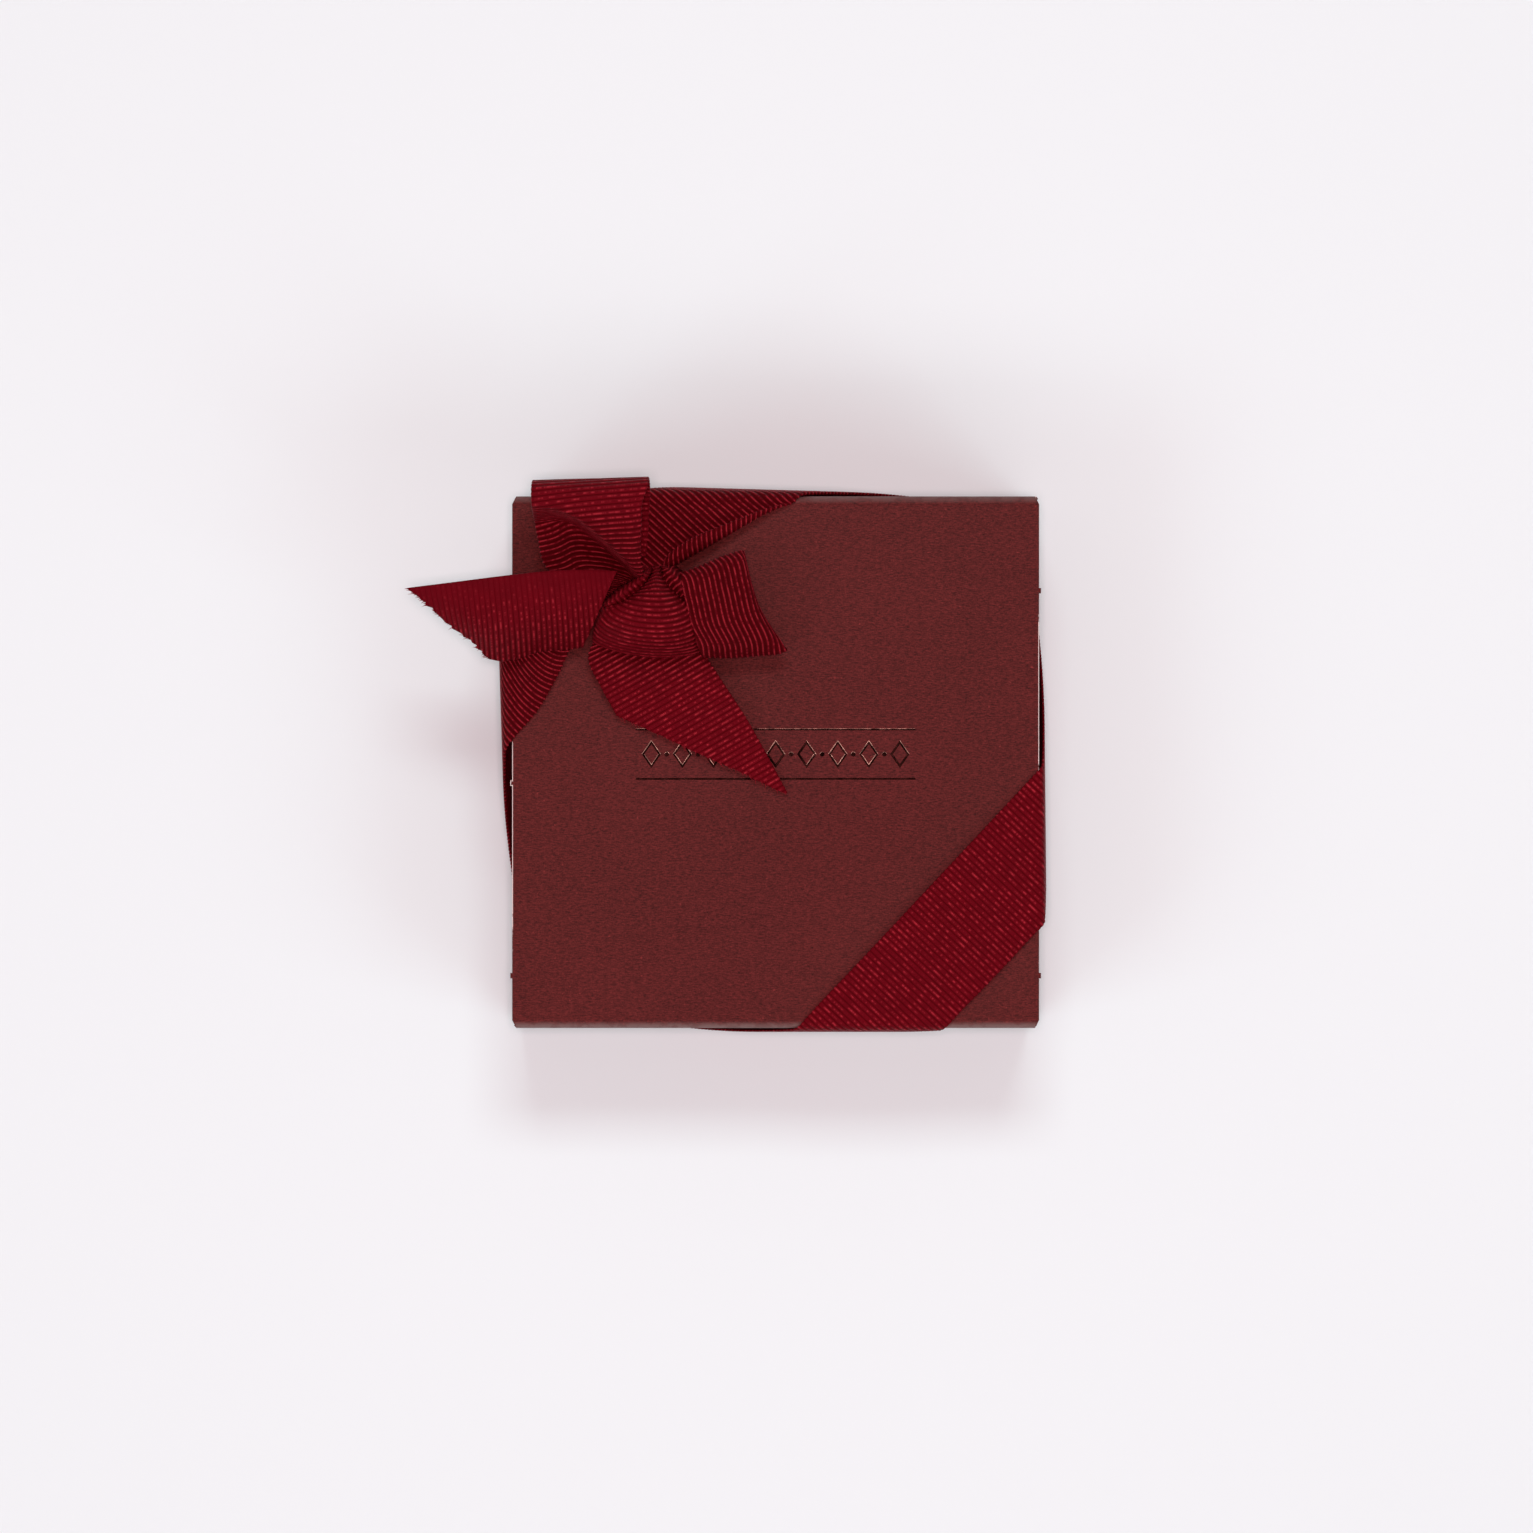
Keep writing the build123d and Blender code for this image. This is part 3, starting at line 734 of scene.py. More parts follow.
def smooth_through(values, marks, places):
    """Rows at the given places, on smooth curves through the rows of values at their marks."""
    shape = (-1, *[1] * (values.ndim - 1))
    gaps = np.diff(marks)
    slopes = np.diff(values, axis=0) / gaps.reshape(shape)
    tangents = np.empty_like(values)
    tangents[0], tangents[-1] = slopes[0], slopes[-1]
    before, after = gaps[:-1].reshape(shape), gaps[1:].reshape(shape)
    tangents[1:-1] = (slopes[1:] * before + slopes[:-1] * after) / (before + after)
    index = np.clip(np.searchsorted(marks, places, side="right") - 1, 0, len(gaps) - 1)
    share = ((places - marks[index]) / gaps[index]).reshape(shape)
    leave = tangents[index] * gaps[index].reshape(shape)
    arrive = tangents[index + 1] * gaps[index].reshape(shape)
    square, cube = share**2, share**3
    return (
        values[index] * (2 * cube - 3 * square + 1)
        + leave * (cube - 2 * square + share)
        + values[index + 1] * (3 * square - 2 * cube)
        + arrive * (cube - square)
    )


def full_row(row, shares):
    """A row of points from selvedge to selvedge. Two points and a cup are filled in between."""
    if len(row) == len(shares):
        return np.array(row, float)
    first, second = np.array(row[0], float), np.array(row[1], float)
    cup = row[2] if len(row) > 2 else 0.0
    share = np.array(shares)[:, None]
    lift = np.array((0, 0, 4.0)) * share * (1 - share) * cup
    return first + (second - first) * share + lift


def as_seen(points):
    """Places moved in plan so that the camera sees them over the lid where their plan says."""
    look = bpy.context.scene.stage_look
    centre = np.array(look.view_centre)
    moved = np.array(points)
    nearer = (moved[:, 2:] - LID_TOP) / look.camera_height
    moved[:, :2] = centre + (moved[:, :2] - centre) * (1 - nearer)
    return moved


def bow_rows(table, shares=EVEN):
    """A table of rows in ribbon widths from the knot, as places in the frame."""
    width = bpy.context.scene.ribbon_sizes.width
    return [as_seen(KNOT + full_row(row, shares) * width) for row in table]


def units(vectors):
    """The same directions, each of length one."""
    return vectors / np.maximum(np.linalg.norm(vectors, axis=-1, keepdims=True), 1e-12)


def fine_surface(rows, shares, fine):
    """A smooth grid through the rows, with the runs of the rows and of the grid along it."""
    across = np.linspace(0, 1, bpy.context.scene.ribbon_sizes.columns + 1)
    rows = smooth_through(np.array(rows, float).transpose(1, 0, 2), np.array(shares), across)
    rows = rows.transpose(1, 0, 2)
    marks = np.linalg.norm(np.diff(rows, axis=0), axis=2).mean(axis=1)
    marks = np.concatenate([[0], np.cumsum(marks)])
    places = np.linspace(0, marks[-1], math.ceil(marks[-1] / fine) + 1)
    return smooth_through(rows, marks, places), marks, places


def rib_runs(grid, pin, skew, bunch):
    """How far along the weave each place of a grid lies, from the rib over the pinned row."""
    steps = np.linalg.norm(np.diff(grid, axis=0), axis=2)
    along = np.concatenate([np.zeros((1, grid.shape[1])), np.cumsum(steps, axis=0)])
    heading = units((grid[pin + 1] - grid[pin - 1]).mean(axis=0))
    start = (grid[pin] - grid[pin, grid.shape[1] // 2]) @ heading
    share = np.linspace(-0.5, 0.5, grid.shape[1])
    along = along - along[pin]
    return along + np.minimum(along, 0) * bunch * (0.5 - share) + start + skew * share


def openness(opened, marks, places, columns):
    """How far the ribs stand apart over a grid, from values at each row or at both its ends."""
    ends = np.zeros(len(marks)) if opened is None else np.array(opened, float)
    ends = ends.reshape(len(marks), -1)
    near, far = np.interp(places, marks, ends[:, 0]), np.interp(places, marks, ends[:, -1])
    return near[:, None] + (far - near)[:, None] * np.linspace(0, 1, columns)


def woven_grid(rows, pinned, shares=EVEN, skew=0, opened=None, relief=None, ragged=0, bunch=0):
    """Middle surface of a stretch of ribbon, cut along its ribs.

    Each row of the result lies on one line across the weave. The ribs are laid out from the
    pinned row, where they cross the ribbon square to its run, turned by skew. Opened says how far
    the ribs stand apart at each row or at each end of it, relief raises or lowers the surface over
    its plan, ragged is how unevenly the last row is cut, and bunch is how much closer the ribs
    come along the first selvedge before the pinned row.
    """
    sizes = bpy.context.scene.ribbon_sizes
    fine = sizes.rib_pitch / sizes.steps_per_rib
    grid, marks, places = fine_surface(rows, shares, fine)
    if relief is not None:
        plan = (grid - KNOT) / sizes.width
        grid[:, :, 2] += relief(plan, places[:, None] / marks[-1]) * sizes.width
    normals = units(np.cross(np.gradient(grid, axis=0), np.gradient(grid, axis=1)))
    columns = grid.shape[1]
    pin = int(np.clip(np.searchsorted(places, marks[pinned]), 1, len(places) - 2))
    along = rib_runs(grid, pin, skew, bunch)
    gape = openness(opened, marks, places, columns)
    first, last = math.floor(along.min() / fine), math.ceil(along.max() / fine)
    lattice = np.arange(first, last + 1) * fine
    teeth = np.random.default_rng(sizes.fray_seed).normal(size=columns) * ragged
    cut = along[-1] - np.abs(teeth)
    known = np.concatenate([grid, normals, gape[:, :, None]], axis=2)
    run = np.empty((len(lattice), columns))
    woven = np.empty((len(lattice), columns, known.shape[2]))
    for column in range(columns):
        run[:, column] = np.clip(lattice, along[0, column], cut[column])
        for part in range(known.shape[2]):
            values = known[:, column, part]
            woven[:, column, part] = np.interp(run[:, column], along[:, column], values)
    across = np.linspace(-0.5, 0.5, columns) * sizes.width
    return woven[:, :, :3], units(woven[:, :, 3:6]), run, across, woven[:, :, 6]


# How far a selvedge's rounding stands out, as a share of the ribbon's body
SELVEDGE_BULGE = 0.45


def slab_faces(rows, count, columns):
    """Faces of a closed tube of rings, with its two cut ends filled."""
    faces = []
    for row in range(rows - 1):
        base = row * count
        for place in range(count):
            after = (place + 1) % count
            faces.append((base + place, base + after, base + count + after, base + count + place))
    for base in (0, (rows - 1) * count):
        under = [base + 2 * columns - place for place in range(columns)]
        for place in range(columns - 1):
            faces.append((base + place, base + place + 1, under[place + 1], under[place]))
        faces.append((base + columns - 1, base + columns, under[-1]))
        faces.append((base, under[0], base + count - 1))
    return faces


def slab_mesh(name, points, facing, run, across, wide):
    """A closed thin body round a middle surface, with rounded selvedges and its weave map."""
    sizes = bpy.context.scene.ribbon_sizes
    half, bulge = sizes.body / 2, sizes.body * SELVEDGE_BULGE
    upper, lower = points + facing * half, points - facing * half
    start_edge = points[:, :1] - units(points[:, 1:2] - points[:, :1]) * bulge
    end_edge = points[:, -1:] + units(points[:, -1:] - points[:, -2:-1]) * bulge
    rings = np.concatenate([upper, end_edge, lower[:, ::-1], start_edge], axis=1)
    outer = [across[-1] + bulge], [across[0] - bulge]
    round_across = np.concatenate([across, outer[0], across[::-1], outer[1]])
    round_run = np.concatenate([run, run[:, -1:], run[:, ::-1], run[:, :1]], axis=1)
    gape = np.concatenate([wide, wide[:, -1:], wide[:, ::-1], wide[:, :1]], axis=1)
    faces = slab_faces(len(rings), rings.shape[1], points.shape[1])
    mesh = bpy.data.meshes.new(name)
    mesh.from_pydata(rings.reshape(-1, 3), [], faces)
    weave = np.stack([np.broadcast_to(round_across, round_run.shape), round_run], axis=2)
    weave = weave.reshape(-1, 2)
    corners = np.empty(len(mesh.loops), int)
    mesh.loops.foreach_get("vertex_index", corners)
    layer = mesh.uv_layers.new(name="Weave")
    layer.uv.foreach_set("vector", weave[corners].astype(np.float32).ravel())
    opened = mesh.attributes.new("open", "FLOAT", "POINT")
    opened.data.foreach_set("value", gape.astype(np.float32).ravel())
    work = bmesh.new()
    work.from_mesh(mesh)
    bmesh.ops.remove_doubles(work, verts=work.verts, dist=2 * SAME_POINT)
    bmesh.ops.dissolve_degenerate(work, edges=work.edges, dist=SAME_POINT)
    bmesh.ops.recalc_face_normals(work, faces=work.faces)
    work.to_mesh(mesh)
    work.free()
    mesh.shade_smooth()
    return mesh


def merged_copy(node):
    """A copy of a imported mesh, and its merged shape to work on."""
    mesh = NODES[node].data.copy()
    if mesh.has_custom_normals:
        mesh.attributes.remove(mesh.attributes["custom_normal"])
    mesh.materials.clear()
    work = bmesh.new()
    work.from_mesh(mesh)
    bmesh.ops.remove_doubles(work, verts=work.verts, dist=SAME_POINT)
    return mesh, work


def level_faces(work, height):
    """Faces of a mesh that look up at a height."""
    return [
        face for face in work.faces
        if face.normal.z > FLAT_WALL and face.calc_center_median().z > height - SAME_LEVEL
    ]


def finished_mesh(mesh, work, *materials):
    """The worked shape put back into its mesh, with its materials."""
    work.to_mesh(mesh)
    work.free()
    for material in materials:
        mesh.materials.append(material)
    return mesh


def folded_board(mesh, work, *materials):
    """A finished board mesh, its flat walls flat and its folds smooth."""
    for face in work.faces:
        face.smooth = max(map(abs, face.normal)) < FLAT_WALL
    finished_mesh(mesh, work, *materials)
    mesh.set_sharp_from_angle(angle=CREASE_ANGLE)
    return mesh


def new_piece(name, mesh):
    """A new object at the origin, shown in the scene."""
    piece = bpy.data.objects.new(name, mesh)
    bpy.context.scene.collection.objects.link(piece)
    return piece


def grown(piece, tree, values):
    """Run a geometry node tree on a piece and keep the result as its plain mesh."""
    modifier = piece.modifiers.new(tree.name, "NODES")
    modifier.node_group = tree
    for item in tree.interface.items_tree:
        if item.item_type == "SOCKET" and item.in_out == "INPUT" and item.name in values:
            modifier[item.identifier] = values[item.name]
    bpy.context.view_layer.update()
    graph = bpy.context.evaluated_depsgraph_get()
    mesh = bpy.data.meshes.new_from_object(piece.evaluated_get(graph))
    piece.modifiers.remove(modifier)
    old = piece.data
    piece.data = mesh
    mesh.name = piece.name
    bpy.data.meshes.remove(old)
    return piece


def ribbon_piece(node, rows, pinned, **options):
    """One stretch of ribbon that stands for a CAD node of the same kind."""
    sizes = bpy.context.scene.ribbon_sizes
    material = kept(bpy.data.materials, "crimson grosgrain", ribbon_material)
    grid = woven_grid(rows, pinned, **options)
    piece = new_piece(node + "_cloth", slab_mesh(node + "_cloth", *grid))
    values = {
        "Rib Pitch": sizes.rib_pitch,
        "Rib Height": sizes.rib_height,
        "Sharpness": sizes.rib_sharpness,
        "Open Sharpness": sizes.open_sharpness,
        "Material": material,
    }
    grown(piece, kept(bpy.data.node_groups, "Ribbon ribs", rib_tree), values)
    return piece, grid


def lay_cloth(piece, node, body="bow_ribbon"):
    """Hide the imported node that a ribbon piece stands for, and attach the piece to the body that
    it moves with.
    """
    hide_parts(node)
    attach(piece, body)


# How the ribbon goes down each side of the box: the ways out and along, the side's reach, which
# selvedge is first, where its middle crosses the edge, and its drift along the side for each unit
# down it. Stand-offs and bends are in millimetres, lean is the share of the stand-off that each
# selvedge takes, and spread is how much wider it leaves the edge, in ribbon widths
SIDES = {
    "right": dict(
        out=(1, 0, 0), along=(0, 1, 0), reach=HALF_LENGTH, first=1, top=-0.331 * HALF_DEPTH,
        drift=1.075, standoff=0.85, bend=1.0, foot_standoff=0.4, foot_bend=0.6, lean=(0.9, 1.15),
    ),
    "left": dict(
        out=(-1, 0, 0), along=(0, 1, 0), reach=HALF_LENGTH, first=1, top=0.374 * HALF_DEPTH,
        drift=-1.0, standoff=2.0, bend=2.0, foot_standoff=0.4, foot_bend=0.6, lean=(1.15, 0.75),
    ),
    "front": dict(
        out=(0, -1, 0), along=(1, 0, 0), reach=HALF_DEPTH, first=-1, top=0.39 * HALF_LENGTH,
        drift=-0.93, standoff=0.325, bend=1.825, foot_standoff=0.325, foot_bend=1.825, lean=(1, 1),
    ),
    "back": dict(
        out=(0, 1, 0), along=(1, 0, 0), reach=HALF_DEPTH, first=1, top=-0.21 * HALF_LENGTH,
        drift=0.94, standoff=0.8, bend=1.8, foot_standoff=0.325, foot_bend=1.825, lean=(0.7, 1.5),
        spread=0.16,
    ),
}
# Steps in each of a leg's two quarter bends
BEND_STEPS = 8


def leg_rows(side, shares=EVEN):
    """Rows of a ribbon leg from the lid down to the underside."""
    width = bpy.context.scene.ribbon_sizes.width
    out, along = np.array(side["out"], float), np.array(side["along"], float)
    profile = []
    for step in range(BEND_STEPS + 1):
        turn = math.pi / 2 * (1 - step / BEND_STEPS)
        bend = side["bend"] * MM
        offset = side["standoff"] * MM - bend * (1 - math.cos(turn))
        profile.append((offset, TOP_LEVEL - bend * (1 - math.sin(turn)), 1.0))
    for step in range(BEND_STEPS + 1):
        turn = -math.pi / 2 * step / BEND_STEPS
        bend = side["foot_bend"] * MM
        offset = side["foot_standoff"] * MM - bend * (1 - math.cos(turn))
        profile.append((offset, FOOT_LEVEL + bend * (1 + math.sin(turn)), 0.0))
    runs = [0.0]
    for before, after in zip(profile, profile[1:]):
        runs.append(runs[-1] + math.hypot(after[0] - before[0], after[1] - before[1]))
    half = side["first"] * width * math.hypot(1, side["drift"]) / 2
    share = np.array(shares)[:, None]
    lean = side["lean"][0] + (side["lean"][1] - side["lean"][0]) * share
    rows = []
    for (offset, height, free), run in zip(profile, runs):
        middle = side["top"] + side["drift"] * SLEEVE_HEIGHT * run / runs[-1]
        wider = side.get("spread", 0.0) * width * side["first"] * (1 - run / runs[-1])
        stand = offset * (lean if free and offset > 0 else np.ones_like(lean))
        place = out * (side["reach"] + stand) + np.array((0, 0, height))
        rows.append(place + along * (middle + half * (1 - 2 * share) - wider * share))
    return rows


def splice_row(own, other):
    """The row under the box where this half of the loop meets the other half."""
    back = units((own[0] + own[-1] - other[0] - other[-1])) * SPLICE_GAP / 2
    return (own + other) / 2 + back


# Bow tables: rows run away from the knot, in ribbon widths from it, with heights over the lid.
# A row is five points from selvedge to selvedge, or two selvedge points and a cup.
LEFT_STRAND = [
    ((-0.21, 0.12, 0.08), (-0.13, -0.16, 0.06), 0.02),
    ((-0.55, 0.10, 0.08), (-0.44, -0.33, 0.12), 0.04),
    ((-0.88, 0.06, 0.07), (-0.74, -0.67, 0.09), 0.03),
    ((-1.06, 0.01, 0.05), (-0.86, -0.92, 0.055), 0.05),
    ((-1.16, -0.03, 0.045), (-1.03, -1.22, 0.035), 0.05),
]
BACK_SHARES = (0.0, 0.05, 0.1, 0.15, 0.2, 0.26, 0.34, 0.48, 0.64, 0.82, 1.0)
# Runs along both selvedges from where the ribbon crosses the lid's back edge, and how far the row
# is gathered into the throat of the knot
BACK_STRAND = [
    (-1.42, -1.75, 1.0),
    (-1.36, -1.70, 0.80),
    (-1.22, -1.62, 0.42),
    (-1.00, -1.52, 0.10),
    (-0.74, -1.42, 0.0),
    (-0.46, -1.32, 0.0),
    (-0.20, -1.21, 0.0),
]
BACK_TURN = np.array((1.29, 0.71))
BACK_RUN = np.array((0.755, 0.656))
BACK_FOLD = np.array((0.496, -0.868))
# The roll along the strand's lower selvedge: the height of its foot, its radius at the lid's edge,
# and how that grows with the run before the edge, up to a longest one
ROLL_FOOT, ROLL_RADIUS, ROLL_GROWTH, ROLL_LONGEST = 0.055, 0.012, 0.075, 1.2
THROAT = np.array(((0.15, 0.02, 0.16), (-0.07, 0.10, 0.12)))
UPPER_LOOP = [
    ((-0.23, 0.15, 0.09), (-0.04, 0.19, 0.10)),
    ((-0.60, 0.20, 0.07), (-0.02, 0.34, 0.09)),
    ((-0.93, 0.40, 0.09), (-0.01, 0.53, 0.12)),
    ((-1.03, 0.64, 0.16), (0.00, 0.70, 0.20)),
    ((-1.08, 0.82, 0.31), (0.00, 0.86, 0.36)),
    ((-1.08, 0.89, 0.47), (-0.01, 0.92, 0.52)),
    ((-1.09, 0.83, 0.60), (-0.02, 0.85, 0.65)),
    (
        (-1.09, 0.69, 0.62), (-0.83, 0.70, 0.66), (-0.57, 0.71, 0.68),
        (-0.30, 0.70, 0.69), (-0.07, 0.69, 0.66),
    ),
    (
        (-1.07, 0.50, 0.60), (-0.81, 0.51, 0.64), (-0.54, 0.53, 0.66),
        (-0.28, 0.52, 0.67), (-0.08, 0.50, 0.65),
    ),
    (
        (-1.03, 0.31, 0.58), (-0.77, 0.32, 0.58), (-0.50, 0.35, 0.58),
        (-0.24, 0.33, 0.60), (-0.09, 0.30, 0.61),
    ),
    (
        (-0.98, 0.13, 0.50), (-0.72, 0.15, 0.48), (-0.45, 0.19, 0.49),
        (-0.22, 0.17, 0.52), (-0.08, 0.13, 0.54),
    ),
    (
        (-0.83, -0.01, 0.42), (-0.60, 0.02, 0.40), (-0.37, 0.06, 0.40),
        (-0.19, 0.05, 0.40), (-0.06, 0.01, 0.42),
    ),
    (
        (-0.46, -0.13, 0.34), (-0.34, -0.09, 0.34), (-0.23, -0.05, 0.32),
        (-0.15, -0.03, 0.28), (-0.05, -0.06, 0.28),
    ),
]
RIGHT_SHARES = (0.0, 0.06, 0.3, 0.6, 0.86, 1.0)
RIGHT_LOOP = [
    (
        (0.34, 0.02, 0.19), (0.35, -0.03, 0.19), (0.38, -0.18, 0.20),
        (0.44, -0.41, 0.20), (0.49, -0.62, 0.19), (0.51, -0.72, 0.19),
    ),
    (
        (0.57, 0.11, 0.17), (0.58, 0.06, 0.17), (0.62, -0.14, 0.18),
        (0.68, -0.40, 0.18), (0.76, -0.63, 0.16), (0.80, -0.73, 0.15),
    ),
    (
        (0.74, 0.18, 0.16), (0.75, 0.13, 0.16), (0.81, -0.10, 0.17),
        (0.89, -0.37, 0.17), (1.02, -0.60, 0.15), (1.09, -0.70, 0.14),
    ),
    (
        (0.84, 0.22, 0.21), (0.85, 0.17, 0.22), (0.91, -0.07, 0.22),
        (1.01, -0.34, 0.22), (1.17, -0.59, 0.19), (1.25, -0.69, 0.18),
    ),
    (
        (0.875, 0.23, 0.29), (0.885, 0.18, 0.30), (0.94, -0.06, 0.30),
        (1.04, -0.33, 0.29), (1.20, -0.58, 0.26), (1.275, -0.68, 0.24),
    ),
    (
        (0.85, 0.235, 0.36), (0.86, 0.19, 0.39), (0.92, -0.05, 0.40),
        (1.01, -0.34, 0.38), (1.16, -0.60, 0.34), (1.22, -0.71, 0.27),
    ),
    (
        (0.70, 0.19, 0.39), (0.71, 0.15, 0.43), (0.77, -0.10, 0.46),
        (0.85, -0.38, 0.44), (0.97, -0.64, 0.37), (1.01, -0.73, 0.26),
    ),
    (
        (0.49, 0.10, 0.41), (0.50, 0.06, 0.45), (0.55, -0.18, 0.48),
        (0.62, -0.44, 0.46), (0.70, -0.66, 0.38), (0.74, -0.75, 0.26),
    ),
    (
        (0.29, 0.03, 0.40), (0.30, 0.00, 0.43), (0.33, -0.20, 0.45),
        (0.39, -0.44, 0.44), (0.46, -0.65, 0.37), (0.49, -0.74, 0.26),
    ),
]
LEFT_TAIL = [
    (
        (-0.30, 0.05, 0.38), (-0.38, -0.12, 0.42), (-0.46, -0.30, 0.41),
        (-0.54, -0.48, 0.32), (-0.62, -0.65, 0.16),
    ),
    (
        (-0.53, 0.06, 0.45), (-0.58, -0.12, 0.49), (-0.63, -0.31, 0.46),
        (-0.69, -0.50, 0.34), (-0.75, -0.67, 0.15),
    ),
    (
        (-0.92, 0.05, 0.51), (-0.94, -0.14, 0.55), (-0.96, -0.33, 0.52),
        (-0.98, -0.52, 0.38), (-1.00, -0.69, 0.15),
    ),
    (
        (-1.38, 0.00, 0.51), (-1.35, -0.19, 0.55), (-1.31, -0.38, 0.52),
        (-1.28, -0.58, 0.38), (-1.24, -0.76, 0.17),
    ),
    (
        (-1.85, -0.06, 0.45), (-1.72, -0.24, 0.48), (-1.59, -0.43, 0.46),
        (-1.47, -0.61, 0.35), (-1.35, -0.78, 0.18),
    ),
    (
        (-2.25, -0.11, 0.36), (-2.06, -0.28, 0.36), (-1.86, -0.45, 0.33),
        (-1.66, -0.62, 0.26), (-1.46, -0.79, 0.18),
    ),
]
RIGHT_TAIL = [
    ((-0.20, -0.17, 0.10), (0.18, -0.15, 0.10), 0.0),
    ((-0.44, -0.50, 0.13), (0.38, -0.45, 0.13), 0.0),
    ((-0.56, -0.75, 0.15), (0.53, -0.75, 0.16), 0.03),
    ((-0.45, -1.01, 0.10), (0.69, -1.00, 0.13), 0.04),
    ((-0.34, -1.21, 0.075), (0.91, -1.34, 0.11), 0.02),
    ((-0.30, -1.29, 0.065), (1.29, -2.03, 0.045), 0.02),
]
# The knot's fan, row by row from its throat: the middle's y and height, the valley on each side
# of the fan, the selvedge of the rolled limb outside each valley, and the heights of the valleys
# and of the limbs over them
KNOT_FAN = [
    (0.10, 0.30, (0.03, 0.08), (0.10, 0.09), (-0.01, 0.06), (0.17, 0.10), 0.28, 0.05),
    (0.02, 0.42, (0.02, 0.01), (0.11, 0.02), (-0.11, 0.00), (0.26, 0.08), 0.26, 0.22),
    (-0.05, 0.50, (-0.04, -0.07), (0.15, -0.05), (-0.19, -0.05), (0.33, 0.02), 0.27, 0.25),
    (-0.12, 0.55, (-0.12, -0.15), (0.21, -0.12), (-0.30, -0.12), (0.38, -0.05), 0.29, 0.23),
    (-0.18, 0.58, (-0.25, -0.24), (0.31, -0.21), (-0.39, -0.20), (0.41, -0.15), 0.32, 0.17),
    (-0.28, 0.60, (-0.34, -0.27), (0.38, -0.26), (-0.43, -0.25), (0.44, -0.24), 0.38, 0.06),
    (-0.39, 0.60, (-0.41, -0.29), (0.43, -0.36), (-0.46, -0.30), (0.455, -0.34), 0.36, 0.02),
    (-0.50, 0.57, (-0.475, -0.38), (0.47, -0.47), (-0.49, -0.40), (0.485, -0.46), 0.32, 0.0),
    (-0.60, 0.50, (-0.50, -0.48), (0.49, -0.58), (-0.51, -0.50), (0.50, -0.57), 0.26, 0.0),
    (-0.69, 0.38, (-0.515, -0.57), (0.495, -0.66), (-0.52, -0.59), (0.50, -0.66), 0.19, 0.0),
    (-0.74, 0.26, (-0.51, -0.62), (0.485, -0.70), (-0.515, -0.63), (0.49, -0.70), 0.15, 0.0),
    (-0.70, 0.16, (-0.49, -0.60), (0.46, -0.67), (-0.50, -0.61), (0.465, -0.67), 0.12, 0.0),
    (-0.55, 0.13, (-0.44, -0.50), (0.40, -0.54), (-0.45, -0.50), (0.41, -0.54), 0.11, 0.0),
]
KNOT_SHARES = tuple(np.linspace(0, 1, 25))
# Share of a row that each rolled limb takes, and how far its selvedge tucks down
LIMB_SHARE = 1 / 6
LIMB_TUCK = 0.10


def back_rows():
    """Rows of the back strand on the lid, its lower selvedge rolled over on top of it."""
    width = bpy.context.scene.ribbon_sizes.width
    share = np.array(BACK_SHARES)
    across = np.array((-BACK_RUN[1], BACK_RUN[0]))
    rows = []
    for first, last, gather in BACK_STRAND:
        run = first + (last - first) * share
        flat = BACK_TURN + run[:, None] * BACK_RUN + share[:, None] * across
        over = (flat - BACK_TURN) @ BACK_FOLD
        radius = np.clip(-run, 0.0, ROLL_LONGEST) * ROLL_GROWTH + ROLL_RADIUS
        turn = np.clip(over / radius + math.pi / 2, 0, math.pi)
        quarter = math.pi / 2 * radius
        past = np.maximum(over - quarter, 0) - np.maximum(-over - quarter, 0)
        moved = radius * (np.sin(turn) - 1) - np.abs(past)
        height = ROLL_FOOT + radius * (1 - np.cos(turn))
        place = np.empty((len(share), 3))
        place[:, :2] = flat + (moved - over)[:, None] * BACK_FOLD
        place[:, 2] = height
        throat = THROAT[0] + (THROAT[1] - THROAT[0]) * share[:, None]
        rows.append(as_seen(KNOT + (place + (throat - place) * gather) * width))
    return rows


def eased(value):
    """Nought below nought, one above one and smooth between them."""
    value = np.clip(value, 0, 1)
    return value * value * (3 - 2 * value)


def beyond(x, y, line):
    """Distance of each place from a line of points, positive on the line's right."""
    nearest = np.full(x.shape, np.inf)
    signed = np.zeros(x.shape)
    for (x0, y0), (x1, y1) in zip(line, line[1:]):
        length = math.hypot(x1 - x0, y1 - y0)
        run = np.clip(((x - x0) * (x1 - x0) + (y - y0) * (y1 - y0)) / length**2, 0, 1)
        gap = np.hypot(x - x0 - run * (x1 - x0), y - y0 - run * (y1 - y0))
        side = (y1 - y0) * (x - x0) - (x1 - x0) * (y - y0)
        signed = np.where(gap < nearest, np.copysign(gap, side), signed)
        nearest = np.minimum(gap, nearest)
    return signed


# The pleat's line on the lid, and the pocket in front of it: how deep it falls and within what
# distance, how much of that it comes back up, from where and within what distance, and the height
# over the lid that stays under it
PLEAT = ((-1.30, 0.74), (-0.92, 0.66), (-0.62, 0.52), (-0.36, 0.31), (-0.16, 0.12), (-0.06, -0.02))
POCKET_DEPTH, POCKET_FALL = 0.86, 0.07
POCKET_RISE, RISE_START, RISE_RUN = 0.30, 0.24, 0.40
POCKET_FLOOR = 0.12
# Share of the loop at which its upper layer starts, and the share in which the pocket sets in
UPPER_LAYER, SETS_IN = 0.60, 0.06


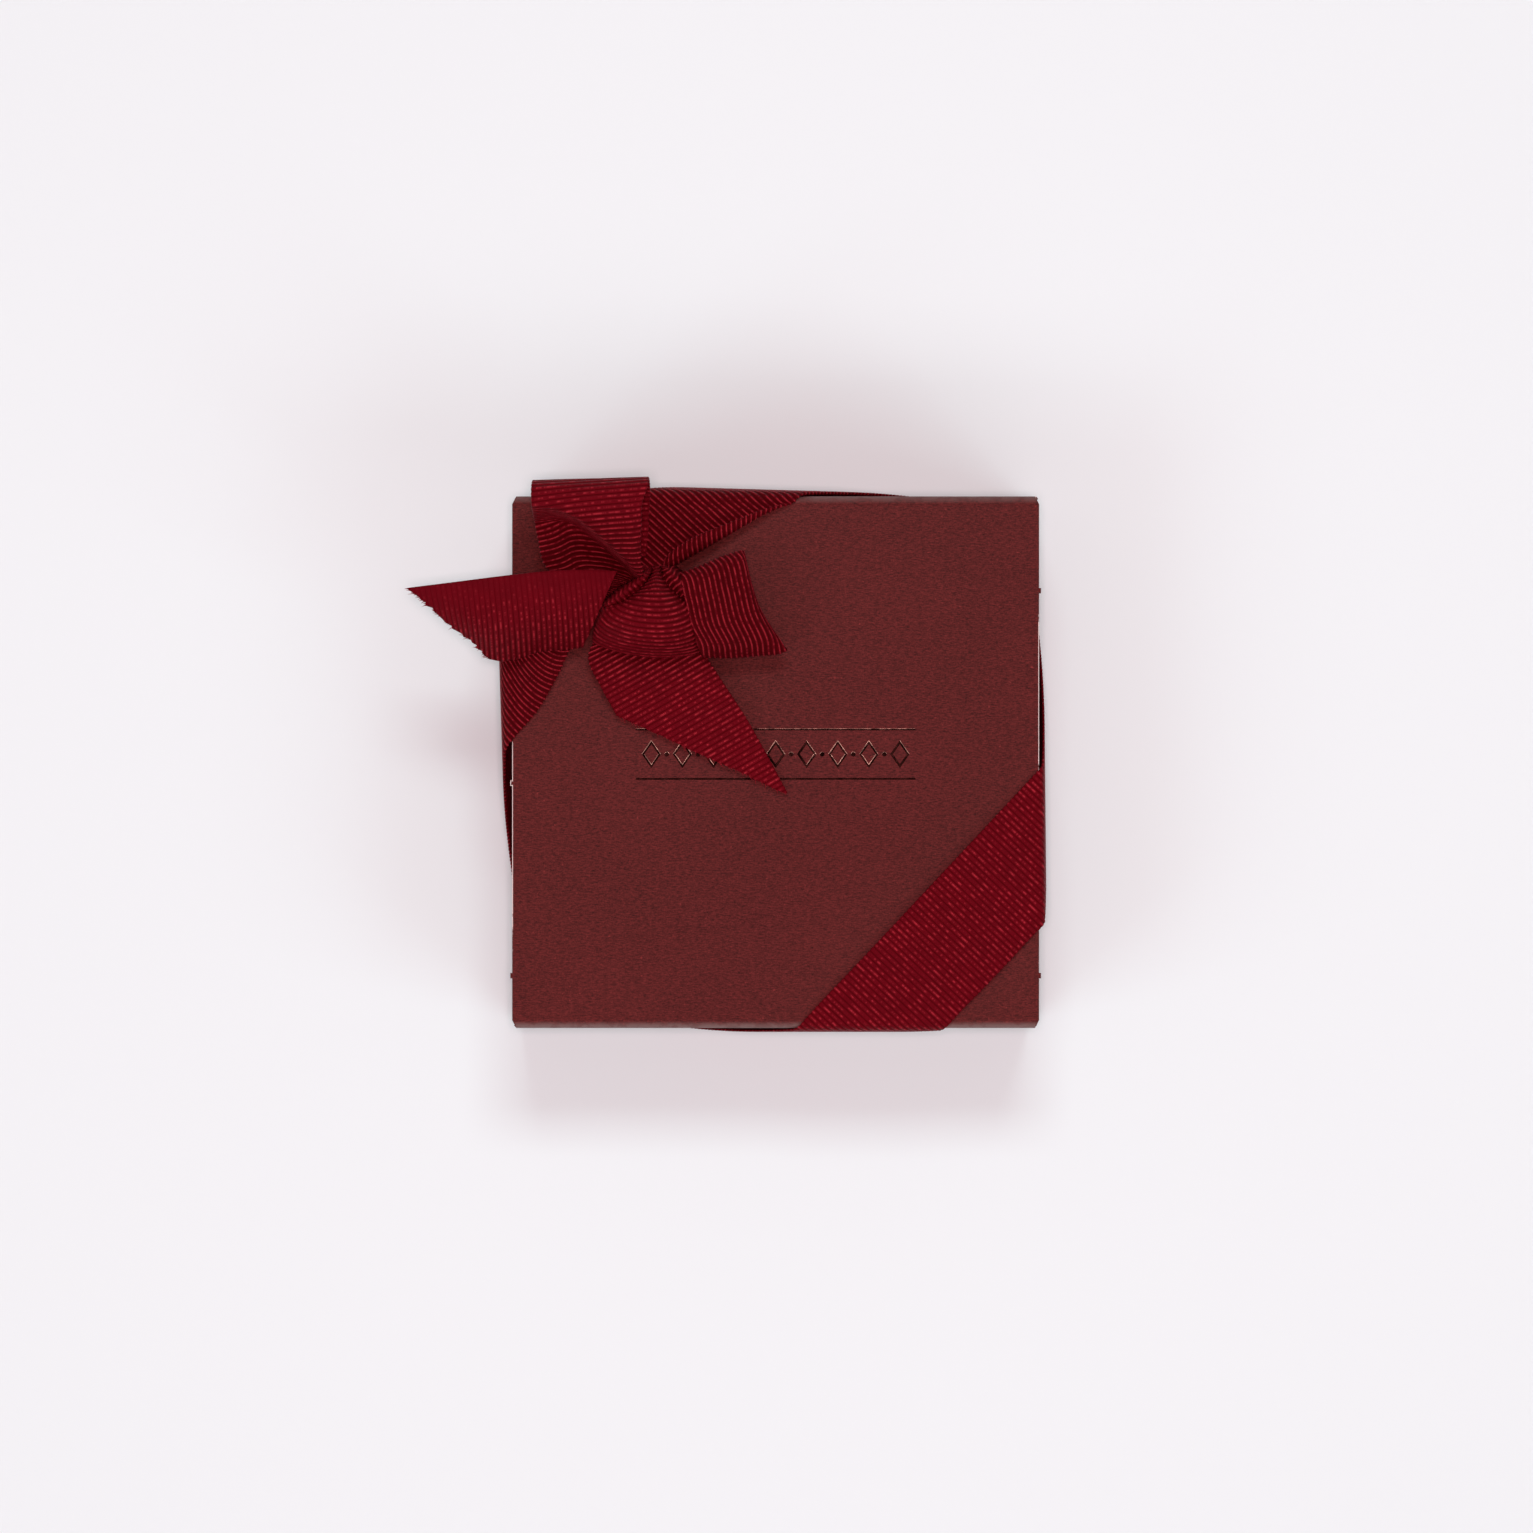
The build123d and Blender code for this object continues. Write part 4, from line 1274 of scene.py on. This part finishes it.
def loop_pleat(plan, share):
    """The pocket in the upper loop, in front of the pleat that runs down to the knot."""
    front = beyond(plan[:, :, 0], plan[:, :, 1], PLEAT)
    depth = POCKET_DEPTH * eased(front / POCKET_FALL)
    depth = depth - POCKET_RISE * eased((front - RISE_START) / RISE_RUN)
    upper = eased((share - UPPER_LAYER) / SETS_IN)
    return -upper * depth * (plan[:, :, 2] - POCKET_FLOOR)


def knot_rows():
    """Rows of the knot's fan, with a rolled limb down each side of its throat."""
    width = bpy.context.scene.ribbon_sizes.width
    share = np.array(KNOT_SHARES)
    fan = np.clip((share - LIMB_SHARE) / (1 - 2 * LIMB_SHARE), 0, 1)
    limb = np.clip(np.abs(share - 0.5) / LIMB_SHARE - 0.5 / LIMB_SHARE + 1, 0, 1)
    spread = 2 * fan - 1
    rows = []
    for y, top, left, right, left_edge, right_edge, valley, roll in KNOT_FAN:
        first, last = np.array(left), np.array(right)
        plan = first + (last - first) * fan[:, None]
        plan[:, 1] += (y - (left[1] + right[1]) / 2) * (1 - spread**2)
        outward = np.array(left_edge) - first, np.array(right_edge) - last
        plan += np.where(share[:, None] < 0.5, *outward) * limb[:, None]
        # The fan is broad on top and falls steeply into its valleys
        dome = (1 - np.abs(spread) ** 2.4) ** 0.7
        height = valley + (top - valley) * dome + roll * np.sin(math.pi * limb) - LIMB_TUCK * limb
        rows.append(as_seen(KNOT + np.column_stack([plan, height]) * width))
    return rows


# Operators
class MakeSleeve(bpy.types.Operator):
    """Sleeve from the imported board, with score lines beside its folds and a pale core."""

    bl_idname = "drawer_box.sleeve"
    bl_label = "Sleeve"

    def execute(self, context):
        look = context.scene.board_look
        mesh, work = merged_copy("sleeve")
        self.score_lid(work, look)
        self.press_corners(work, look)
        burr = self.wear_raw_edges(work, look)
        bmesh.ops.recalc_face_normals(work, faces=work.faces)
        for face in work.faces:
            end = abs(face.calc_center_median().x) > HALF_LENGTH - ENDS_AND_NICKS
            cut = end and abs(face.normal.x) > 0.9
            face.material_index = 1 if cut or face in burr else 0
        folded_board(
            mesh, work,
            kept(bpy.data.materials, "burgundy board", board_material),
            kept(bpy.data.materials, "board core", core_material),
        )
        piece = new_piece("sleeve_board", mesh)
        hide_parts("sleeve")
        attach(piece, "sleeve")
        return {"FINISHED"}

    @staticmethod
    def score_lid(work, look):
        """Press a line into the lid beside each of its folds."""
        for side in (-1, 1):
            for inward in (0, look.score_width / 2, look.score_width):
                lid = level_faces(work, LID_TOP)
                touched = {edge for face in lid for edge in face.edges}
                touched |= {vert for face in lid for vert in face.verts}
                bmesh.ops.bisect_plane(
                    work, geom=[*lid, *touched], dist=SAME_POINT / 10,
                    plane_co=(0, side * (FLAT_END - inward), 0), plane_no=(0, 1, 0),
                )
            line = side * (FLAT_END - look.score_width / 2)
            for vert in work.verts:
                if abs(vert.co.y - line) < SAME_POINT and vert.co.z > LID_TOP - SAME_LEVEL:
                    vert.co.z -= look.score_depth

    @staticmethod
    def press_corners(work, look):
        """Push the ends of the folds in a little, as wear does."""
        for vert in work.verts:
            inset = look.corner_wear[(vert.co.x > 0) + 2 * (vert.co.y > 0)]
            into_fold = max(abs(vert.co.y) - FLAT_END, 0) / FOLD_RADIUS
            if abs(vert.co.x) > HALF_LENGTH - ENDS:
                vert.co.x -= math.copysign(inset * into_fold**2, vert.co.x)

    def wear_raw_edges(self, work, look):
        """Round the cut edges that show, and give the faces of that rounding."""
        raw = [
            edge for edge in work.edges
            if len(edge.link_faces) == 2 and edge.calc_face_angle(0) > RAW_EDGE_ANGLE
            and all(
                abs(vert.co.x) > HALF_LENGTH - ENDS_AND_NICKS and self.outside(vert.co)
                for vert in edge.verts
            )
        ]
        made = bmesh.ops.bevel(
            work, geom=raw, offset=look.burr, segments=1, affect="EDGES", profile=0.5
        )
        return set(made["faces"])

    @staticmethod
    def outside(place):
        """Whether a place is on the sleeve's outer skin."""
        rise = abs(place.z - SLEEVE_MIDDLE) - SLEEVE_HEIGHT / 2 + FOLD_RADIUS
        away = abs(place.y) - FLAT_END
        return math.hypot(max(rise, 0), max(away, 0)) > FOLD_RADIUS - ENDS


class MakeTray(bpy.types.Operator):
    """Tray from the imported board, with smooth folds."""

    bl_idname = "drawer_box.tray"
    bl_label = "Tray"

    def execute(self, context):
        look = context.scene.board_look
        mesh, work = merged_copy("tray")
        material = plain_board_material(
            "tray board", look.colour, look.fibre_length, 3.0, 0.55, solid(look.fold_highlight_and_wear_colour), 0.36
        )
        piece = new_piece("tray_board", folded_board(mesh, work, material))
        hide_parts("tray")
        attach(piece, "tray")
        return {"FINISHED"}


class DressInserts(bpy.types.Operator):
    """Liner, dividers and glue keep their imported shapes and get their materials."""

    bl_idname = "drawer_box.inserts"
    bl_label = "Inserts"

    def execute(self, context):
        look = context.scene.board_look
        divider = plain_board_material(
            "divider board", look.divider_colour, 0.0016, 0.5, 0.7, (0.10, 0.055, 0.04, 1.0), 0.42
        )
        liner = plain_board_material(
            "greaseproof liner", look.liner_colour, 0.004, 0.22, 0.5, (0.74, 0.68, 0.56, 1.0), 0.45
        )
        materials = {"base_liner": liner, "seam_glue": glue_material()}
        for side in SIDES:
            materials[side + "_divider"] = divider
        for node, material in materials.items():
            NODES[node].data.materials.clear()
            NODES[node].data.materials.append(material)
        return {"FINISHED"}


class StampFoil(bpy.types.Operator):
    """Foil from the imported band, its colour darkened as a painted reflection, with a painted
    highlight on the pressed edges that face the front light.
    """

    bl_idname = "drawer_box.foil"
    bl_label = "Foil"

    def execute(self, context):
        look = context.scene.board_look
        mesh, work = merged_copy("foil_band")
        faces = level_faces(work, max(vert.co.z for vert in work.verts))
        outline = {vert for face in faces for vert in face.verts}
        made = bmesh.ops.inset_region(
            work, faces=faces, thickness=look.foil_edge, use_even_offset=True
        )
        for vert in outline:
            if any(face in made["faces"] for face in vert.link_faces):
                vert.co.z -= look.foil_drop
        work.normal_update()
        for face in made["faces"]:
            # Painted highlight: pressed edges that face the front light take the lighter foil
            # colour
            if face.normal.y < -0.08 and face.normal.z > 0.1:
                face.material_index = 1
        finished_mesh(
            mesh, work,
            foil_material("stamped foil", look.foil_painted_reflection_colour),
            foil_material("foil edge", look.foil_painted_highlight_colour),
        )
        piece = new_piece("foil_stamping", mesh)
        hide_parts("foil_band")
        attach(piece, "sleeve")
        return {"FINISHED"}


class LayFarRibbon(bpy.types.Operator):
    """Half of the loop, over the lid's front right corner."""

    bl_idname = "drawer_box.far_ribbon"
    bl_label = "Far Ribbon"

    def execute(self, context):
        right, left, front, back = (leg_rows(side) for side in SIDES.values())
        start = splice_row(right[-1], back[-1])
        end = splice_row(front[-1], left[-1][::-1])
        # Between the two edges it stands a little off the lid
        lift = np.array((0, 0, 0.6 * MM))
        between = [right[0] + (front[0] - right[0]) * part + lift for part in (0.3, 0.7)]
        rows = [start, *reversed(right), *between, *front, end]
        piece, _ = ribbon_piece("far_ribbon", rows, len(right) + 1)
        lay_cloth(piece, "far_ribbon", body="far_ribbon")
        return {"FINISHED"}


def open_near_bow(count, last):
    """How far the ribs of each row stand open: fully on the lid, and not at all down the side."""
    return np.clip((last + 2 - np.arange(count)) / 2, 0, 1)


class LayStrands(bpy.types.Operator):
    """The two strands that leave the knot, turn over the lid's edges and meet the far half."""

    bl_idname = "drawer_box.strands"
    bl_label = "Strands"

    def execute(self, context):
        left = leg_rows(SIDES["left"])
        end = splice_row(left[-1], leg_rows(SIDES["front"])[-1][::-1])
        rows = [*bow_rows(LEFT_STRAND), *left, end]
        last = len(LEFT_STRAND) + BEND_STEPS
        opened = open_near_bow(len(rows), last)
        piece, _ = ribbon_piece("left_strand", rows, last, opened=opened, skew=-0.003, bunch=0.7)
        lay_cloth(piece, "left_strand")
        back = leg_rows(SIDES["back"], BACK_SHARES)
        end = splice_row(back[-1], leg_rows(SIDES["right"], BACK_SHARES)[-1])
        rows = [*back_rows(), *back, end]
        first = len(BACK_STRAND)
        opened = open_near_bow(len(rows), first + BEND_STEPS)
        piece, _ = ribbon_piece("back_strand", rows, first, shares=BACK_SHARES, opened=opened)
        lay_cloth(piece, "back_strand")
        return {"FINISHED"}


class TieLoops(bpy.types.Operator):
    """The upper loop and the right loop of the bow."""

    bl_idname = "drawer_box.loops"
    bl_label = "Loops"

    def execute(self, context):
        opened = np.interp(np.arange(len(UPPER_LOOP)), (7, 9), (0.0, 1.0))
        piece, _ = ribbon_piece(
            "upper_loop", bow_rows(UPPER_LOOP), 5, skew=0.0012, opened=opened, relief=loop_pleat
        )
        lay_cloth(piece, "upper_loop")
        rows = bow_rows(RIGHT_LOOP, RIGHT_SHARES)
        opened = np.ones(len(rows))
        piece, _ = ribbon_piece("right_loop", rows, 4, shares=RIGHT_SHARES, opened=opened)
        lay_cloth(piece, "right_loop")
        return {"FINISHED"}


# Loose threads in each column of a tail's mesh, and the radius of their feet
THREADS_PER_COLUMN = 5
THREAD_THICKNESS = 0.00009


def loose_threads(name, grid, seed_step):
    """Frayed threads along the last row of a tail."""
    sizes = bpy.context.scene.ribbon_sizes
    points, _, run, _, _ = grid
    ends = points[-1]
    inside = np.array([
        points[np.searchsorted(run[:, column], run[-1, column] - MM), column]
        for column in range(points.shape[1])
    ])
    share = np.linspace(0, 1, THREADS_PER_COLUMN, endpoint=False)[None, :, None]
    places = (ends[:-1, None] * (1 - share) + ends[1:, None] * share).reshape(-1, 3)
    aims = np.repeat(units(ends - inside)[:-1], THREADS_PER_COLUMN, axis=0)
    mesh = bpy.data.meshes.new(name)
    mesh.from_pydata(places, [], [])
    outward = mesh.attributes.new("outward", "FLOAT_VECTOR", "POINT")
    outward.data.foreach_set("vector", aims.astype(np.float32).ravel())
    piece = new_piece(name, mesh)
    values = {
        "Longest": sizes.fray_length,
        "Thickness": THREAD_THICKNESS,
        "Seed": sizes.fray_seed + seed_step,
        "Material": kept(bpy.data.materials, "loose thread", thread_material),
    }
    grown(piece, kept(bpy.data.node_groups, "Frayed threads", fray_tree), values)
    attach(piece, "bow_ribbon")
    return piece


class CutTails(bpy.types.Operator):
    """The two tails, cut at a slant and frayed at the cut."""

    bl_idname = "drawer_box.tails"
    bl_label = "Tails"

    def execute(self, context):
        tails = (
            ("left_tail", LEFT_TAIL, 2, [(-0.7, 0.6)] * len(LEFT_TAIL), 0.0006, "folded"),
            ("right_tail", RIGHT_TAIL, 4, (1.0, 1.0, 0.8, 0.1, 0.0, 0.0), 0.0002, "laid"),
        )
        for step, (node, table, pinned, opened, ragged, held) in enumerate(tails):
            piece, grid = ribbon_piece(
                node, bow_rows(table), pinned, opened=opened, ragged=ragged
            )
            fray = loose_threads(node + "_fray", grid, step)
            lay_cloth(piece, node)
        return {"FINISHED"}


class PinchKnot(bpy.types.Operator):
    """The knot: a fan of ribbon pinched at its throat and folded under at its foot."""

    bl_idname = "drawer_box.knot"
    bl_label = "Knot"

    def execute(self, context):
        throat = 5
        opened = [(0.2, 0.9)] * throat + [(-0.3, 0.9)] * (len(KNOT_FAN) - throat)
        piece, _ = ribbon_piece("bow_knot", knot_rows(), 8, shares=KNOT_SHARES, opened=opened)
        lay_cloth(piece, "bow_knot")
        return {"FINISHED"}


# How far the tabletop reaches each way, and over which squared distances it turns to plain paleness
FLOOR_REACH = 4.0
FAR_SQUARED = (0.14, 1.3)

# Name, place, size, and the stage's power and tint of each light
LIGHTS = (
    ("front light", (0.0, -0.87, 1.0), (2.4, 0.36), "front_power", "front_colour"),
    ("left front light", (-0.87, -0.543, 0.835), (0.65, 0.6), "side_power", "side_colour"),
    ("right front light", (0.87, -0.543, 0.835), (0.65, 0.6), "side_power", "side_colour"),
    ("back light", (0.05, 0.653, 1.10), (0.5, 0.27), "back_power", "back_colour"),
    ("top light", (0.0, 0.0, 1.25), (0.12, 0.12), "top_power", "fill_colour"),
)


def floor_material():
    """Pale tabletop, which keeps its paleness far from the box where the camera sees it."""
    look = bpy.context.scene.stage_look
    material, wiring, shader = new_material("pale tabletop")
    dim = tuple(value * 0.985 for value in look.floor_colour)
    clouds = wiring.noise(place_of(wiring), 3.0)
    colour = wiring.mixed(clouds, solid(dim), solid(look.floor_colour))
    parts = wiring.parts(place_of(wiring))
    squares = [wiring.product(parts[axis], parts[axis]) for axis in "XY"]
    seen = wiring.add("ShaderNodeLightPath").outputs["Is Camera Ray"]
    far = wiring.product(wiring.ramp(wiring.total(*squares), *FAR_SQUARED), seen)
    finish_surface(wiring, shader, wiring.mixed(far, colour, BLACK))
    glow = wiring.mixed(far, BLACK, solid(look.floor_colour))
    join(wiring, [(glow, shader.inputs["Emission Color"])])
    set_shader(shader, Roughness=0.9, Specular_IOR_Level=0.0, Emission_Strength=1.0)
    return material


def pale_room():
    """World that shows pale to the camera and in gloss, and gives a dim light from all round."""
    look = bpy.context.scene.stage_look
    world = bpy.data.worlds.new("pale room")
    world.use_nodes = True
    world.node_tree.nodes.clear()
    wiring = Wiring(world.node_tree)
    path = wiring.add("ShaderNodeLightPath").outputs
    through = wiring.total(path["Is Glossy Ray"], path["Is Transmission Ray"])
    seen = wiring.total(path["Is Camera Ray"], through)
    tones = ((solid(look.fill_colour), look.fill), (solid(look.floor_colour), 1.0))
    fill, pale = (
        wiring.add("ShaderNodeBackground", {"Color": colour, "Strength": strength}).outputs[0]
        for colour, strength in tones
    )
    share = wiring.math("MINIMUM", seen, 1.0)
    both = wiring.add("ShaderNodeMixShader", {0: share, 1: fill, 2: pale}).outputs[0]
    wiring.add("ShaderNodeOutputWorld", {"Surface": both})
    return world


class SetStage(bpy.types.Operator):
    """Floor, lights, background and camera."""

    bl_idname = "drawer_box.stage"
    bl_label = "Stage"

    def execute(self, context):
        scene, look = context.scene, context.scene.stage_look
        mesh = bpy.data.meshes.new("floor")
        reach = FLOOR_REACH
        corners = [(-reach, -reach, 0), (reach, -reach, 0), (reach, reach, 0), (-reach, reach, 0)]
        mesh.from_pydata(corners, [], [(0, 1, 2, 3)])
        mesh.materials.append(floor_material())
        floor = new_piece("floor", mesh)
        for name, place, size, power, colour in LIGHTS:
            self.add_light(name, place, size, getattr(look, power), getattr(look, colour))
        scene.world = pale_room()
        camera = bpy.data.cameras.new("camera")
        camera.sensor_width = 36.0
        camera.lens = camera.sensor_width * look.camera_height / look.view_width
        camera.clip_start, camera.clip_end = 0.01, 50.0
        holder = bpy.data.objects.new("camera", camera)
        holder.location = (*look.view_centre, LID_TOP + look.camera_height)
        scene.collection.objects.link(holder)
        scene.camera = holder
        scene.view_settings.view_transform = "Standard"
        return {"FINISHED"}

    def add_light(self, name, place, size, power, colour):
        """A soft rectangular light that faces the lid. The top one has no mirror image in it."""
        lamp = bpy.data.lights.new(name, "AREA")
        lamp.shape = "RECTANGLE"
        lamp.size, lamp.size_y = size
        lamp.energy = power
        lamp.color = colour
        holder = bpy.data.objects.new(name, lamp)
        holder.visible_glossy = name != "top light"
        holder.location = place
        aim = Vector((0, 0, LID_TOP)) - Vector(place)
        holder.rotation_euler = aim.to_track_quat("-Z", "Y").to_euler()
        bpy.context.scene.collection.objects.link(holder)


class DrawerBoxPanel(bpy.types.Panel):
    """Lists the steps that dress the box."""

    bl_idname = "VIEW3D_PT_drawer_box"
    bl_label = "Drawer Box"
    bl_space_type = "VIEW_3D"
    bl_region_type = "UI"
    bl_category = "Drawer Box"

    def draw(self, context):
        for step in STEPS:
            self.layout.operator(step.bl_idname)


STEPS = (
    SetStage, MakeSleeve, MakeTray, DressInserts, StampFoil,
    LayFarRibbon, LayStrands, TieLoops, CutTails, PinchKnot,
)
LOOKS = {"ribbon_sizes": RibbonSizes, "board_look": BoardLook, "stage_look": StageLook}


def register():
    """Add the settings, the steps and the panel."""
    for kind in (*LOOKS.values(), *STEPS, DrawerBoxPanel):
        bpy.utils.register_class(kind)
    for name, kind in LOOKS.items():
        setattr(bpy.types.Scene, name, PointerProperty(type=kind))


def unregister():
    """Take them away again."""
    for name in LOOKS:
        delattr(bpy.types.Scene, name)
    for kind in reversed((*LOOKS.values(), *STEPS, DrawerBoxPanel)):
        bpy.utils.unregister_class(kind)


def main():
    """Take every step."""
    register()
    bpy.ops.drawer_box.stage()
    bpy.ops.drawer_box.sleeve()
    bpy.ops.drawer_box.tray()
    bpy.ops.drawer_box.inserts()
    bpy.ops.drawer_box.foil()
    bpy.ops.drawer_box.far_ribbon()
    bpy.ops.drawer_box.strands()
    bpy.ops.drawer_box.loops()
    bpy.ops.drawer_box.tails()
    bpy.ops.drawer_box.knot()


if __name__ == "__main__":
    main()
